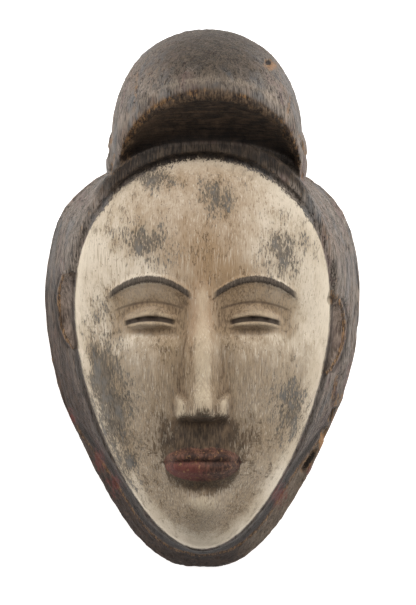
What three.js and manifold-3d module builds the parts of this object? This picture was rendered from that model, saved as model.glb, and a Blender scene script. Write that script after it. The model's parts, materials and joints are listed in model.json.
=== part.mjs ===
// A carved wooden face mask with a white painted face, a domed hairdress with a deep brim, low
// ears on its side walls and a hollow back. One block of wood, lying on its back on the plane z = 0.
// Millimetres. +Y runs to the crown, +X to the right of someone who looks at the face, +Z out of
// the face. The origin is in the middle of the back, on the plane that the mask lies on.

import * as THREE from "three";
import { mergeVertices } from "three/addons/utils/BufferGeometryUtils.js";
import Module from "manifold-3d";

// Outer sizes
const MASK_HEIGHT = 310; // lowest point of the rim to the crown
const MASK_WIDTH = 182; // across the side walls at the ears
const FACE_WIDTH = 146;
const FACE_HEIGHT = 224; // hairline to chin
const CHIN_FLANGE = 12; // dark border seen below the chin
const FACE_TAPER = 0.28; // 0 is an ellipse, more narrows the chin
const CENTRE_Y = -45; // the point of the face where every ray of the outlines starts

// Depths, measured up from the back
const EDGE_DEPTH = 52; // edge of the face beside the cheeks
const EDGE_RISE_CROWN = 24; // how much higher that edge stands at the hairline
const EDGE_RISE_CHIN = 4; // and below the chin
const FACE_DEPTH = 88; // skin of the face at its middle
const RIM_LIFT = 9; // the widest line of the rim above the back

// Border between the face and the side wall
const GROOVE_WIDTH = 1.2;
const GROOVE_DEPTH = 4.5;
const BAND_STEP = 2; // rise from the groove to the thin hair band
const BAND_WIDTH = 3.2; // the band beside the cheeks
const BAND_WIDTH_CROWN = 8; // and over the forehead
const BAND_CROWN_FROM = 0.8; // it widens from here up, the sine of the direction from the centre
const BAND_LIFT_CROWN = 6; // the band stands this much prouder over the forehead
const BAND_END = 4; // the band runs out here, at the upper end of the ears
const BAND_FADE = 20; // over this length
const BAND_FADED = 0.35; // share of its width that is left there
const BAND_FOOT = 1.4; // narrow slope from the band down to the side wall
const BAND_FOOT_DROP = 4;
const COLLAR_WIDTH = 9; // bevel along the rim below the jaw
const COLLAR_MIN = 1.5;
const COLLAR_SLOPE = 1.5; // its rise for each millimetre of width
const WALL_BULGE = 1.15; // 1 is a flat side wall, more swells it

// Hollow back
const BACK_RIM = 10; // flat rim that the mask lies on
const WALL = 12; // wood between the hollow and the skin at the middle of the face
const HOLLOW_FLATNESS = 2.6; // more makes its middle flatter
const HOLLOW_STEEPNESS = 0.68; // less makes its sides steeper
const HOLLOW_TOP = 104; // the hollow reaches this far up, behind the hairdress

// Hairdress
const HAIR_WIDTH = 110;
const HAIR_HEIGHT = 83; // hair base to crown
const HAIR_LEAN = 2.6; // the hairdress sits this far to the right
const HAIR_SIDE_DEPTH = 45; // its widest line above the back
const HAIR_SQUARENESS = 3.1; // 2 is an ellipse, more straightens its sides
const HAIR_FOOT_TUCK = 4; // its sides draw in this much at the back
const HAIR_BURY = 9; // how far its lower end is sunk into the head
const BRIM_WIDTH = 104; // arch of the brim's front edge
const BRIM_HEIGHT = 45;
const BRIM_SHIFT = 1.6; // the brim sits a little further right than the dome
const BRIM_SQUARENESS = 2.3;
const BRIM_DEPTH = 122; // front of the brim above the back, at the middle
const BRIM_END_DEPTH = 68; // and at the two ends
const BRIM_LIP = 3.5; // thickness of the brim's front edge
const SCOOP_WIDTH = 100; // arch where the scooped hollow under the brim meets the head
const SCOOP_HEIGHT = 18.5;
const SCOOP_DEPTH = 80;
const SCOOP_END_DEPTH = 62;
const TRESS_WIDTH = 13; // tuft behind each end of the brim
const TRESS_LENGTH = 36;
const TRESS_DEPTH = 40;
const TRESS_OUT = 51.5; // its middle from the middle of the hairdress

// Eyes
const SLIT_HEIGHT = 2.4; // the pierced gap
const SLIT_SHARE = 0.8; // of the eye's width

// Swells and hollows of the face: how far each stands or sinks, and how far it spreads
const FOREHEAD_SWELL = 6;
const SIDE_FALL = 6;
const CHEEK_SWELL = 3;
const CHEEK_WIDTH = 20;
const CHEEK_HEIGHT = 24;
const JAW_FALL = 4;
const BROW_RISE = 2.4;
const BROW_THICKNESS = 2.6;
const BROW_PEAK = 5; // top of its arc above the brow line
const BROW_ARC = 11;
const SOCKET_DEPTH = 8;
const SOCKET_HEIGHT = 13;
const LID_RISE = 7;
const UPPER_LID = 10;
const LOWER_LID = 8;
const SLIT_BOW = 2.4;
const SLIT_CREASE = 3;
const SLIT_CREASE_WIDTH = 1.7;
const NOSE_RISE = 18;
const NOSE_ROOT = 7;
const NOSE_SPREAD = 9;
const NOSE_UNDERCUT = 4;
const TIP_RISE = 4;
const TIP_SIZE = 8;
const WING_RISE = 9;
const WING_OUT = 9.2;
const WING_WIDTH = 5.6;
const WING_HEIGHT = 8;
const WING_LIFT = 5;
const UPPER_LIP = 8.5;
const LOWER_LIP = 10.5;
const LIP_RISE = 6;
const LIP_BOW_WIDTH = 3.4;
const MOUTH_SWELL = 5;
const MOUTH_SWELL_WIDTH = 27;
const MOUTH_SWELL_HEIGHT = 20;
const PARTING_DEPTH = 3.5;
const PARTING_WIDTH = 1.6;
const UNDER_LIP_DEPTH = 2.5;
const UNDER_LIP_DROP = 15;
const UNDER_LIP_WIDTH = 16;
const UNDER_LIP_HEIGHT = 4;
const CHIN_SWELL = 5;
const CHIN_WIDTH = 15;
const CHIN_HEIGHT = 11;

// Ears: a curved ridge on each side wall
const EAR_HEIGHT = 44;
const EAR_REACH = 0.42; // share of the side wall that an ear covers
const EAR_RIM_WIDTH = 6.4;
const EAR_RIM_STAND = 3.8; // how far it stands out of the wall
const EAR_LEVELS = { left: -7, right: -21 }; // middle of each ear

// Mesh density
const FACE_COLUMNS = 72;
const FACE_ROWS = 96;
const FACE_CROWDING = 0.35; // 0 spaces the grid evenly, more crowds it to the middle of the face
const WALL_SHARES = [0.33, 0.68];
const HAIR_STEPS = 72;
const HAIR_SHELL_STEPS = 6;
const SCOOP_STEPS = 3;
const HOLLOW_STEPS = 64;
const HOLLOW_RINGS = 7;
const EAR_STEPS = 16;
const MESH_TOLERANCE = 0.24; // facets may stray this far from the fine surface

// Places worked out from the sizes above
const OUT_X = MASK_WIDTH / 2;
const OUT_Y = MASK_HEIGHT / 2;
const CHIN = CHIN_FLANGE - OUT_Y;
const FACE_TOP = CHIN + FACE_HEIGHT;
const FACE_MID = (CHIN + FACE_TOP) / 2;
const HAIR_BASE = OUT_Y - HAIR_HEIGHT;

// The face is divided as drawing books divide a head: hairline, brows, nose base and chin a third
// apart, the eyes a quarter of a third below the brows, the mouth a third of the way from the nose
// base to the chin, and five eye widths across.
const THIRD = FACE_HEIGHT / 3;
const EYE_WIDTH = FACE_WIDTH / 5;
const BROW_Y = FACE_TOP - THIRD;
const EYE_Y = BROW_Y - THIRD / 4;
const NOSE_Y = BROW_Y - THIRD;
const MOUTH_Y = NOSE_Y - THIRD / 3;
const EYE_X = EYE_WIDTH;

// The rim's outline on one side, from the bottom to the middle of the top, as shares of the half
// width and the half height. The last three points are hidden in the hairdress.
const RIM_OUTLINE = [
  [0, -1],
  [0.17, -0.99],
  [0.3, -0.948],
  [0.43, -0.875],
  [0.55, -0.775],
  [0.665, -0.658],
  [0.787, -0.509],
  [0.897, -0.36],
  [0.962, -0.212],
  [0.995, -0.063],
  [0.997, 0.085],
  [0.968, 0.197],
  [0.921, 0.29],
  [0.86, 0.352],
  [0.76, 0.415],
  [0.62, 0.47],
  [0.4, 0.53],
  [0, 0.6],
];

const clamp01 = (t) => Math.min(1, Math.max(0, t));
const smooth = (from, to, x) => {
  const t = clamp01((x - from) / (to - from));
  return t * t * (3 - 2 * t);
};
const mix = (a, b, t) => a + (b - a) * t;
const bell = (x, width) => Math.exp(-((x / width) ** 2));
const bowl = (x, y, width, height) => Math.exp(-((x / width) ** 2) - (y / height) ** 2);

// Radius of the rim's outline in each direction from the centre, as a smooth curve through its points.
function rimRadiusTable() {
  const knots = [];
  for (const side of [1, -1]) {
    for (const [x, y] of RIM_OUTLINE) {
      if (x === 0 && side < 0) continue;
      const dx = side * x * OUT_X;
      const dy = y * OUT_Y - CENTRE_Y;
      knots.push({ angle: Math.atan2(dy, dx), radius: Math.hypot(dx, dy) });
    }
  }
  return knots.sort((a, b) => a.angle - b.angle);
}

const RIM_KNOTS = rimRadiusTable();

function rimRadius(angle) {
  const count = RIM_KNOTS.length;
  const knot = (i) => {
    const turn = Math.floor(i / count);
    const k = RIM_KNOTS[i - turn * count];
    return { angle: k.angle + turn * 2 * Math.PI, radius: k.radius };
  };
  let at = RIM_KNOTS.findIndex((k) => k.angle > angle);
  if (at < 0) at = count;
  const [k0, k1, k2, k3] = [knot(at - 2), knot(at - 1), knot(at), knot(at + 1)];
  const span = k2.angle - k1.angle;
  const t = (angle - k1.angle) / span;
  const slope1 = ((k2.radius - k0.radius) / (k2.angle - k0.angle)) * span;
  const slope2 = ((k3.radius - k1.radius) / (k3.angle - k1.angle)) * span;
  const t2 = t * t;
  const t3 = t2 * t;
  return (
    (2 * t3 - 3 * t2 + 1) * k1.radius +
    (t3 - 2 * t2 + t) * slope1 +
    (3 * t2 - 2 * t3) * k2.radius +
    (t3 - t2) * slope2
  );
}

// Half width of the face at a height: an egg, broad at the forehead and narrow at the chin.
const EGG_PEAK = (Math.sqrt(1 + 8 * FACE_TAPER ** 2) - 1) / (4 * FACE_TAPER);
const egg = (t) => Math.sqrt(Math.max(0, 1 - t * t)) * (1 + FACE_TAPER * t);
const faceHalfWidth = (y) => ((FACE_WIDTH / 2) * egg((y - FACE_MID) / (FACE_HEIGHT / 2))) / egg(EGG_PEAK);

// Distance from the centre to the egg's line in one direction, found by halving.
function faceRadius(angle) {
  let inside = 0;
  let outside = FACE_HEIGHT;
  for (let step = 0; step < 40; step++) {
    const r = (inside + outside) / 2;
    const y = CENTRE_Y + r * Math.sin(angle);
    const x = r * Math.abs(Math.cos(angle));
    if (Math.abs(y - FACE_MID) < FACE_HEIGHT / 2 && x < faceHalfWidth(y)) inside = r;
    else outside = r;
  }
  return inside;
}

const crownShare = (angle) => smooth(BAND_CROWN_FROM, 1, Math.sin(angle));

function edgeDepth(angle) {
  const s = Math.sin(angle);
  const rise = s > 0 ? EDGE_RISE_CROWN * smooth(0.3, 1, s) : EDGE_RISE_CHIN * s * s;
  return EDGE_DEPTH + rise;
}

// The broad form of the face: full forehead, round cheeks, slightly drawn-in lower face.
function broadForm(x, y) {
  const foreheadY = (FACE_TOP + BROW_Y) / 2;
  const forehead = FOREHEAD_SWELL * bowl(x, y - foreheadY, FACE_WIDTH * 0.42, THIRD * 0.75);
  const across = -SIDE_FALL * (x / (FACE_WIDTH / 2)) ** 2;
  const cheekY = EYE_Y - THIRD * 0.45;
  const cheek = CHEEK_SWELL * bowl(Math.abs(x) - FACE_WIDTH * 0.26, y - cheekY, CHEEK_WIDTH, CHEEK_HEIGHT);
  const jaw = -JAW_FALL * smooth(NOSE_Y, CHIN, y);
  return FACE_DEPTH + forehead + across + cheek + jaw;
}

// Curved lines of one brow and one slit. d is the distance outwards from the middle of the eye.
const BROW_HALF = EYE_WIDTH * 0.86;
const browOut = (d) => d / BROW_HALF - 0.04;
const browLine = (d) => BROW_Y + BROW_PEAK - BROW_ARC * browOut(d) ** 2;
const slitLine = (d) => EYE_Y + SLIT_BOW * (0.4 - (d / (EYE_WIDTH / 2)) ** 2);

function eyeRelief(x, y) {
  const d = Math.abs(x) - EYE_X;
  const half = EYE_WIDTH / 2;
  const browEnd = 1 - smooth(0.75, 1.05, Math.abs(browOut(d)));
  const brow = BROW_RISE * bell(y - browLine(d), BROW_THICKNESS) * browEnd;
  const socketY = EYE_Y + SOCKET_HEIGHT / 4;
  const socket = -SOCKET_DEPTH * bowl(d + EYE_WIDTH / 28, y - socketY, EYE_WIDTH * 0.8, SOCKET_HEIGHT);
  const tall = y > slitLine(d) ? UPPER_LID : LOWER_LID;
  const ball = LID_RISE * (1 - smooth(0.15, 1.05, Math.hypot(d / (half * 1.3), (y - slitLine(d)) / tall)));
  const opening = 1 - smooth(0.8, 1.08, Math.abs(d) / half);
  const crease = -SLIT_CREASE * bell(y - slitLine(d), SLIT_CREASE_WIDTH) * opening;
  return brow + socket + ball + crease;
}

function noseRelief(x, y) {
  const root = BROW_Y + NOSE_UNDERCUT;
  const along = clamp01((root - y) / (root - NOSE_Y));
  const under = smooth(NOSE_Y - NOSE_UNDERCUT * 0.75, NOSE_Y + NOSE_UNDERCUT, y);
  const ridge = NOSE_RISE * along ** 0.9 * Math.exp(-(Math.abs(x / mix(NOSE_ROOT, NOSE_SPREAD, along)) ** 3));
  const tip = TIP_RISE * bowl(x, y - NOSE_Y - TIP_SIZE, TIP_SIZE, TIP_SIZE);
  const aside = (Math.abs(x) - WING_OUT) / WING_WIDTH;
  const wing = WING_RISE * Math.exp(-(aside ** 4) - ((y - NOSE_Y - WING_LIFT) / WING_HEIGHT) ** 4);
  return (Math.max(ridge, wing) + tip) * under;
}

// Lips: how far each reaches above and below the mouth line at a place across the mouth.
const MOUTH_HALF = EYE_WIDTH * 0.75;
function lipReach(x) {
  const fade = Math.sqrt(clamp01(1 - (x / MOUTH_HALF) ** 2));
  return { upper: UPPER_LIP * fade * (1 - 0.16 * bell(x, LIP_BOW_WIDTH)), lower: LOWER_LIP * fade };
}

function mouthRelief(x, y) {
  const up = y - MOUTH_Y;
  const { upper, lower } = lipReach(x);
  const reach = (up > 0 ? upper : lower) + LOWER_LIP / 20;
  const ends = smooth(1.02, 0.7, Math.abs(x) / MOUTH_HALF);
  const lip = LIP_RISE * (1 - smooth(0.35, 1.15, Math.abs(up) / reach)) * ends;
  const mound = MOUTH_SWELL * bowl(x, up, MOUTH_SWELL_WIDTH, MOUTH_SWELL_HEIGHT);
  const parting = -PARTING_DEPTH * bell(up, PARTING_WIDTH) * smooth(1.05, 0.9, Math.abs(x) / MOUTH_HALF);
  const underLip = -UNDER_LIP_DEPTH * bowl(x, up + UNDER_LIP_DROP, UNDER_LIP_WIDTH, UNDER_LIP_HEIGHT);
  const chin = CHIN_SWELL * bowl(x, y - MOUTH_Y * 0.54 - CHIN * 0.46, CHIN_WIDTH, CHIN_HEIGHT);
  return mound + lip + parting + underLip + chin;
}

// Height of the face above the back. edge runs from 0 at the centre to 1 at the face's edge.
function faceDepth(x, y, edge, angle) {
  const fall = 1 - clamp01(1 - edge ** 2.4) ** 0.6;
  const relief = eyeRelief(x, y) + noseRelief(x, y) + mouthRelief(x, y);
  return mix(broadForm(x, y), edgeDepth(angle), fall) + relief * (1 - smooth(0.8, 0.99, edge));
}

// The border and side wall in one direction, from the face's edge to the back, as pairs of
// distance from the centre and height above the back.
function wallProfile(angle) {
  const crown = crownShare(angle);
  const edge = faceRadius(angle);
  const out = rimRadius(angle);
  const depth = edgeDepth(angle);
  const band = smooth(BAND_END - BAND_FADE, BAND_END + BAND_FADE / 2, CENTRE_Y + edge * Math.sin(angle));
  const collar = mix(COLLAR_MIN, COLLAR_WIDTH, smooth(0.3, 0.85, -Math.sin(angle)));
  const narrow = mix(BAND_FADED, 1, band);
  const groove = edge + GROOVE_WIDTH * narrow;
  const grooveDepth = depth - GROOVE_DEPTH * narrow * (1 - 0.4 * crown);
  const bandIn = groove + BAND_STEP * narrow;
  const bandDepth = grooveDepth + mix(-BAND_STEP, BAND_STEP, band) + BAND_LIFT_CROWN * crown;
  const bandOut = bandIn + mix(BAND_WIDTH, BAND_WIDTH_CROWN, crown) * narrow;
  const foot = bandOut + BAND_FOOT * narrow;
  const footDepth = bandDepth - mix(BAND_FOOT, BAND_FOOT_DROP, band);
  const ridge = Math.max(out - collar, foot + COLLAR_MIN);
  const ridgeDepth = RIM_LIFT + (out - ridge) * COLLAR_SLOPE;
  const profile = [
    [groove, grooveDepth],
    [bandIn, bandDepth],
    [bandOut, bandDepth - BAND_STEP / 2],
    [foot, footDepth],
  ];
  for (const t of WALL_SHARES) {
    profile.push([mix(foot, ridge, t), mix(footDepth, ridgeDepth, t ** WALL_BULGE)]);
  }
  profile.push([ridge, ridgeDepth], [out, RIM_LIFT], [out, 0]);
  return profile;
}

// A point of the side wall between the band's foot (t = 0) and the rim's ridge (t = 1), and the
// direction straight out of the wall there.
function wallPoint(angle, t) {
  const profile = wallProfile(angle);
  const [foot, footDepth] = profile[3];
  const [ridge, ridgeDepth] = profile[4 + WALL_SHARES.length];
  const r = mix(foot, ridge, t);
  const slant = Math.hypot(footDepth - ridgeDepth, ridge - foot);
  const out = (footDepth - ridgeDepth) / slant;
  const up = (ridge - foot) / slant;
  const z = mix(footDepth, ridgeDepth, t ** WALL_BULGE);
  return {
    at: new THREE.Vector3(r * Math.cos(angle), CENTRE_Y + r * Math.sin(angle), z),
    outwards: new THREE.Vector3(out * Math.cos(angle), out * Math.sin(angle), up),
  };
}

// One ear: a round ridge that leaves the band, swings out over the side wall and comes back.
function earGeometry(side) {
  const level = side < 0 ? EAR_LEVELS.left : EAR_LEVELS.right;
  const spine = [];
  const normals = [];
  for (let k = 0; k <= EAR_STEPS; k++) {
    const v = 1 - (2 * k) / EAR_STEPS;
    const y = level + (v * EAR_HEIGHT) / 2;
    const t = EAR_REACH * (1 - Math.abs(v) ** 2.5);
    const rough = Math.atan2(y - CENTRE_Y, side * OUT_X);
    const { at } = wallPoint(rough, t);
    const angle = Math.atan2(y - CENTRE_Y, at.x);
    const found = wallPoint(angle, t);
    spine.push(found.at);
    normals.push(found.outwards);
  }
  const rings = spine.map((at, k) => {
    const ahead = spine[Math.min(k + 1, EAR_STEPS)].clone().sub(spine[Math.max(k - 1, 0)]).normalize();
    const outwards = normals[k].clone().addScaledVector(ahead, -normals[k].dot(ahead)).normalize();
    const across = ahead.clone().cross(outwards);
    const fade = Math.min(1, 0.45 + (1.6 * Math.min(k, EAR_STEPS - k)) / EAR_STEPS);
    return Array.from({ length: 8 }, (_, m) => {
      const turn = (m / 8) * 2 * Math.PI;
      return at
        .clone()
        .addScaledVector(across, (Math.cos(turn) * fade * EAR_RIM_WIDTH) / 2)
        .addScaledVector(outwards, Math.sin(turn) * fade * EAR_RIM_STAND)
        .toArray();
    });
  });
  return closedLoft(rings, spine[0].toArray(), spine[EAR_STEPS].toArray());
}

// A closed surface from rings of points that share one direction of turning, seen from +Z.
function closedLoft(rings, firstPoint, lastPoint) {
  const steps = rings[0].length;
  const positions = [...firstPoint, ...rings.flat(2), ...lastPoint];
  const last = rings.length * steps + 1;
  const index = [];
  const at = (ring, step) => 1 + ring * steps + (step % steps);
  for (let i = 0; i < steps; i++) {
    index.push(0, at(0, i), at(0, i + 1));
    for (let r = 0; r + 1 < rings.length; r++) {
      index.push(at(r, i), at(r + 1, i), at(r + 1, i + 1));
      index.push(at(r, i), at(r + 1, i + 1), at(r, i + 1));
    }
    index.push(at(rings.length - 1, i), last, at(rings.length - 1, i + 1));
  }
  const geometry = new THREE.BufferGeometry();
  geometry.setAttribute("position", new THREE.Float32BufferAttribute(positions, 3));
  geometry.setIndex(index);
  return geometry;
}

const crowd = (t) => (1 - FACE_CROWDING) * t + FACE_CROWDING * t ** 3;

// The head without its hairdress: a grid squeezed into the face's outline, then the rings of the
// border and the side wall, then a flat back.
function headGeometry() {
  const positions = [];
  const index = [];
  const columns = FACE_COLUMNS + 1;
  const at = (i, j) => j * columns + i;
  for (let j = 0; j <= FACE_ROWS; j++) {
    for (let i = 0; i <= FACE_COLUMNS; i++) {
      const u = crowd((2 * i) / FACE_COLUMNS - 1);
      const v = crowd((2 * j) / FACE_ROWS - 1);
      const dx = u * Math.sqrt(1 - (v * v) / 2);
      const dy = v * Math.sqrt(1 - (u * u) / 2);
      const angle = Math.atan2(dy, dx);
      const edge = Math.min(1, Math.hypot(dx, dy));
      const r = edge * faceRadius(angle);
      const x = r * Math.cos(angle);
      const y = CENTRE_Y + r * Math.sin(angle);
      positions.push(x, y, faceDepth(x, y, edge, angle));
    }
  }
  for (let j = 0; j < FACE_ROWS; j++) {
    for (let i = 0; i < FACE_COLUMNS; i++) {
      index.push(at(i, j), at(i + 1, j), at(i + 1, j + 1));
      index.push(at(i, j), at(i + 1, j + 1), at(i, j + 1));
    }
  }
  const loop = [];
  for (let i = 0; i < FACE_COLUMNS; i++) loop.push(at(i, 0));
  for (let j = 0; j < FACE_ROWS; j++) loop.push(at(FACE_COLUMNS, j));
  for (let i = FACE_COLUMNS; i > 0; i--) loop.push(at(i, FACE_ROWS));
  for (let j = FACE_ROWS; j > 0; j--) loop.push(at(0, j));
  const angles = loop.map((p) => Math.atan2(positions[3 * p + 1] - CENTRE_Y, positions[3 * p]));
  const profiles = angles.map(wallProfile);
  let inner = loop;
  for (let ring = 0; ring < profiles[0].length; ring++) {
    const outer = angles.map((angle, k) => {
      const [r, z] = profiles[k][ring];
      positions.push(r * Math.cos(angle), CENTRE_Y + r * Math.sin(angle), z);
      return positions.length / 3 - 1;
    });
    inner.forEach((p, k) => {
      const next = (k + 1) % inner.length;
      index.push(p, outer[k], outer[next], p, outer[next], inner[next]);
    });
    inner = outer;
  }
  positions.push(0, CENTRE_Y, 0);
  const middle = positions.length / 3 - 1;
  inner.forEach((p, k) => index.push(p, middle, inner[(k + 1) % inner.length]));
  const geometry = new THREE.BufferGeometry();
  geometry.setAttribute("position", new THREE.Float32BufferAttribute(positions, 3));
  geometry.setIndex(index);
  return geometry;
}

// The hairdress: rings from the scooped hollow out under the brim, over the brim's edge, round the
// dome and down to the back. The lower half of each ring is sunk in the head.
function hairGeometry() {
  const arch = (width, height, shift, squareness, depthAt) => (s) => ({
    halfWidth: width / 2,
    height,
    shift,
    squareness,
    depth: depthAt(s),
  });
  const scoopDepth = (s) => mix(SCOOP_END_DEPTH, SCOOP_DEPTH, s);
  const brimDepth = (s) => mix(BRIM_END_DEPTH, BRIM_DEPTH, s ** 0.9);
  const scoop = arch(SCOOP_WIDTH, SCOOP_HEIGHT, BRIM_SHIFT, 2, scoopDepth);
  const brim = arch(BRIM_WIDTH, BRIM_HEIGHT, BRIM_SHIFT, BRIM_SQUARENESS, brimDepth);
  const lipDepth = (s) => brimDepth(s) - BRIM_LIP;
  const lip = arch(BRIM_WIDTH - BRIM_LIP, BRIM_HEIGHT - BRIM_LIP, BRIM_SHIFT, BRIM_SQUARENESS, lipDepth);
  const side = (inset, depth) =>
    arch(HAIR_WIDTH - 2 * inset, HAIR_HEIGHT - inset, 0, HAIR_SQUARENESS, () => depth);
  const between = (from, to, across, down) => (s) => {
    const [p, q] = [from(s), to(s)];
    const blend = { depth: mix(p.depth, q.depth, down) };
    for (const key of ["halfWidth", "height", "shift", "squareness"]) {
      blend[key] = mix(p[key], q[key], across);
    }
    return blend;
  };
  const ring = (place) =>
    Array.from({ length: HAIR_STEPS }, (_, k) => {
      const angle = (k / HAIR_STEPS) * 2 * Math.PI;
      const c = Math.cos(angle);
      const s = Math.sin(angle);
      const { halfWidth, height, shift, squareness, depth } = place(Math.max(0, s));
      const x = HAIR_LEAN + shift + halfWidth * c;
      const y = HAIR_BASE + (s > 0 ? height : HAIR_BURY) * Math.sign(s) * Math.abs(s) ** (2 / squareness);
      return [x, y, depth];
    });
  const rings = [ring(scoop)];
  for (let k = 1; k <= SCOOP_STEPS; k++) {
    const t = k / (SCOOP_STEPS + 1);
    rings.push(ring(between(scoop, lip, t, t ** 1.6)));
  }
  rings.push(ring(lip), ring(brim));
  for (let k = 1; k <= HAIR_SHELL_STEPS; k++) {
    const turn = ((k / HAIR_SHELL_STEPS) * Math.PI) / 2;
    rings.push(ring(between(brim, side(0, HAIR_SIDE_DEPTH), Math.sin(turn), 1 - Math.cos(turn))));
  }
  rings.push(ring(side(HAIR_FOOT_TUCK / 2.5, HAIR_SIDE_DEPTH * 0.35)), ring(side(HAIR_FOOT_TUCK, 0)));
  return closedLoft(rings, [HAIR_LEAN, HAIR_BASE, SCOOP_END_DEPTH - HAIR_BURY], [HAIR_LEAN, HAIR_BASE, 0]);
}

// The tuft of hair behind one end of the brim.
function tressGeometry(side) {
  const tress = new THREE.SphereGeometry(0.5, 12, 9);
  tress.scale(TRESS_WIDTH, TRESS_LENGTH, TRESS_DEPTH);
  tress.translate(HAIR_LEAN + side * TRESS_OUT, HAIR_BASE + TRESS_LENGTH * 0.25, HAIR_SIDE_DEPTH * 0.75);
  return tress;
}

// The hollow of the back, as the solid that the carver takes out. It follows the rim, and at the
// top it rounds off behind the hairdress.
function hollowGeometry() {
  const crest = FACE_DEPTH - WALL;
  const outline = (angle) => {
    const inRim = rimRadius(angle) - BACK_RIM;
    const top = (HOLLOW_TOP - CENTRE_Y) / Math.max(0.2, Math.sin(angle)) ** 0.6;
    return Math.sin(angle) > 0.2 ? Math.min(inRim, top) : inRim;
  };
  const ring = (share, depth) =>
    Array.from({ length: HOLLOW_STEPS }, (_, k) => {
      const angle = (k / HOLLOW_STEPS) * 2 * Math.PI - Math.PI;
      const r = share * outline(angle);
      return [r * Math.cos(angle), CENTRE_Y + r * Math.sin(angle), depth];
    });
  const rings = [];
  for (let k = 1; k < HOLLOW_RINGS; k++) {
    const share = Math.sin(((k / HOLLOW_RINGS) * Math.PI) / 2);
    rings.push(ring(share, crest * (1 - share ** HOLLOW_FLATNESS) ** HOLLOW_STEEPNESS));
  }
  rings.push(ring(1, 0), ring(1, -BACK_RIM));
  return closedLoft(rings, [0, CENTRE_Y, crest], [0, CENTRE_Y, -BACK_RIM]);
}

// The pierced slit of one eye, a thin crescent.
function slitGeometry(side) {
  const half = (EYE_WIDTH / 2) * SLIT_SHARE;
  const steps = 10;
  const lower = [];
  const upper = [];
  for (let k = 0; k <= steps; k++) {
    const d = half * ((2 * k) / steps - 1);
    const open = (SLIT_HEIGHT / 2) * Math.sqrt(Math.max(0.03, 1 - (d / half) ** 2));
    lower.push(new THREE.Vector2(side * (EYE_X + d), slitLine(d) - open));
    upper.unshift(new THREE.Vector2(side * (EYE_X + d), slitLine(d) + open));
  }
  const outline = new THREE.Shape([...lower, ...upper]);
  const slit = new THREE.ExtrudeGeometry(outline, { depth: 2 * FACE_DEPTH, bevelEnabled: false });
  slit.translate(0, 0, -FACE_DEPTH / 2);
  return slit;
}

const wasm = await Module();
wasm.setup();

function solid(geometry) {
  const bare = new THREE.BufferGeometry();
  bare.setAttribute("position", geometry.getAttribute("position"));
  if (geometry.index) bare.setIndex(geometry.index);
  const merged = mergeVertices(bare, 1e-4);
  return new wasm.Manifold(
    new wasm.Mesh({
      numProp: 3,
      vertProperties: new Float32Array(merged.attributes.position.array),
      triVerts: new Uint32Array(merged.index.array),
    }),
  );
}

function carve() {
  let block = solid(headGeometry()).add(solid(hairGeometry()));
  for (const side of [-1, 1]) block = block.add(solid(tressGeometry(side))).add(solid(earGeometry(side)));
  block = block.subtract(solid(hollowGeometry()));
  for (const side of [-1, 1]) block = block.subtract(solid(slitGeometry(side)));
  const { vertProperties, triVerts } = block.simplify(MESH_TOLERANCE).getMesh();
  const geometry = new THREE.BufferGeometry();
  geometry.setAttribute("position", new THREE.BufferAttribute(vertProperties, 3));
  geometry.setIndex(new THREE.BufferAttribute(triVerts, 1));
  geometry.computeVertexNormals();
  return geometry;
}

const paintedWood = new THREE.MeshStandardMaterial({ color: 0xb5a184, roughness: 0.85, metalness: 0 });
const mask = new THREE.Mesh(carve(), paintedWood);
mask.name = "mask";

const group = new THREE.Group();
group.add(mask);

export default group;
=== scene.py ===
# %% [markdown]
# # A carved and painted wooden mask
#
# The real object is one block of light wood. A carver gave it a white clay face, a dark domed
# hairdress with a deep brim, low ears and a hollow back. It lies on its back, so the camera looks
# straight down on it. The CAD model holds the true outline. This scene makes the same surface from
# the same sizes on a much finer grid, and adds what only wear and tools leave behind.

# %% Imports and the frame
import json
import math

import bpy
import numpy as np
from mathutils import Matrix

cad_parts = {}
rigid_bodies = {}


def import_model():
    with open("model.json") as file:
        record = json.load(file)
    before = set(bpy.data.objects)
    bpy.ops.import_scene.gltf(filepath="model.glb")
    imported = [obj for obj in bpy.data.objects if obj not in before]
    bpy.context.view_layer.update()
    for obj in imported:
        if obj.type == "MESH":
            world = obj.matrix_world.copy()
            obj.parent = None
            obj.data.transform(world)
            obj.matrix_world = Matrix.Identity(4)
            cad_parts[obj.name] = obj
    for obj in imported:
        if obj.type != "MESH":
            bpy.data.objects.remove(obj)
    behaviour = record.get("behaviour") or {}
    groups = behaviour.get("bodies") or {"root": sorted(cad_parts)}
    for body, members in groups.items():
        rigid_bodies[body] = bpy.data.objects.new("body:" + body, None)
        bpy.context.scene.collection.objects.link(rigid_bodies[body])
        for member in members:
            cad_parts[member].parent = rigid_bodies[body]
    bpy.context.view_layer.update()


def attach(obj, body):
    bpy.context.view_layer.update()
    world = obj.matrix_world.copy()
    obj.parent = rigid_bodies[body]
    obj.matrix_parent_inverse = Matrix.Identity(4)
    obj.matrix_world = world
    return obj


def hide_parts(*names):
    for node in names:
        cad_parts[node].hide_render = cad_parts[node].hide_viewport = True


for thing in list(bpy.data.objects):
    bpy.data.objects.remove(thing)
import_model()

# %% [markdown]
# ## Sizes
#
# They are the sizes of the CAD source, in millimetres, with the same meaning. Keeping one list of
# named sizes for both models is what keeps the fine surface on top of the plain one.

# %% Outer sizes
MASK_HEIGHT = 310
MASK_WIDTH = 182
FACE_WIDTH = 146
FACE_HEIGHT = 224
CHIN_FLANGE = 12
FACE_TAPER = 0.28
CENTRE_Y = -45
OUT_X = MASK_WIDTH / 2
OUT_Y = MASK_HEIGHT / 2
CHIN = CHIN_FLANGE - OUT_Y
FACE_TOP = CHIN + FACE_HEIGHT
FACE_MID = (CHIN + FACE_TOP) / 2

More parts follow.
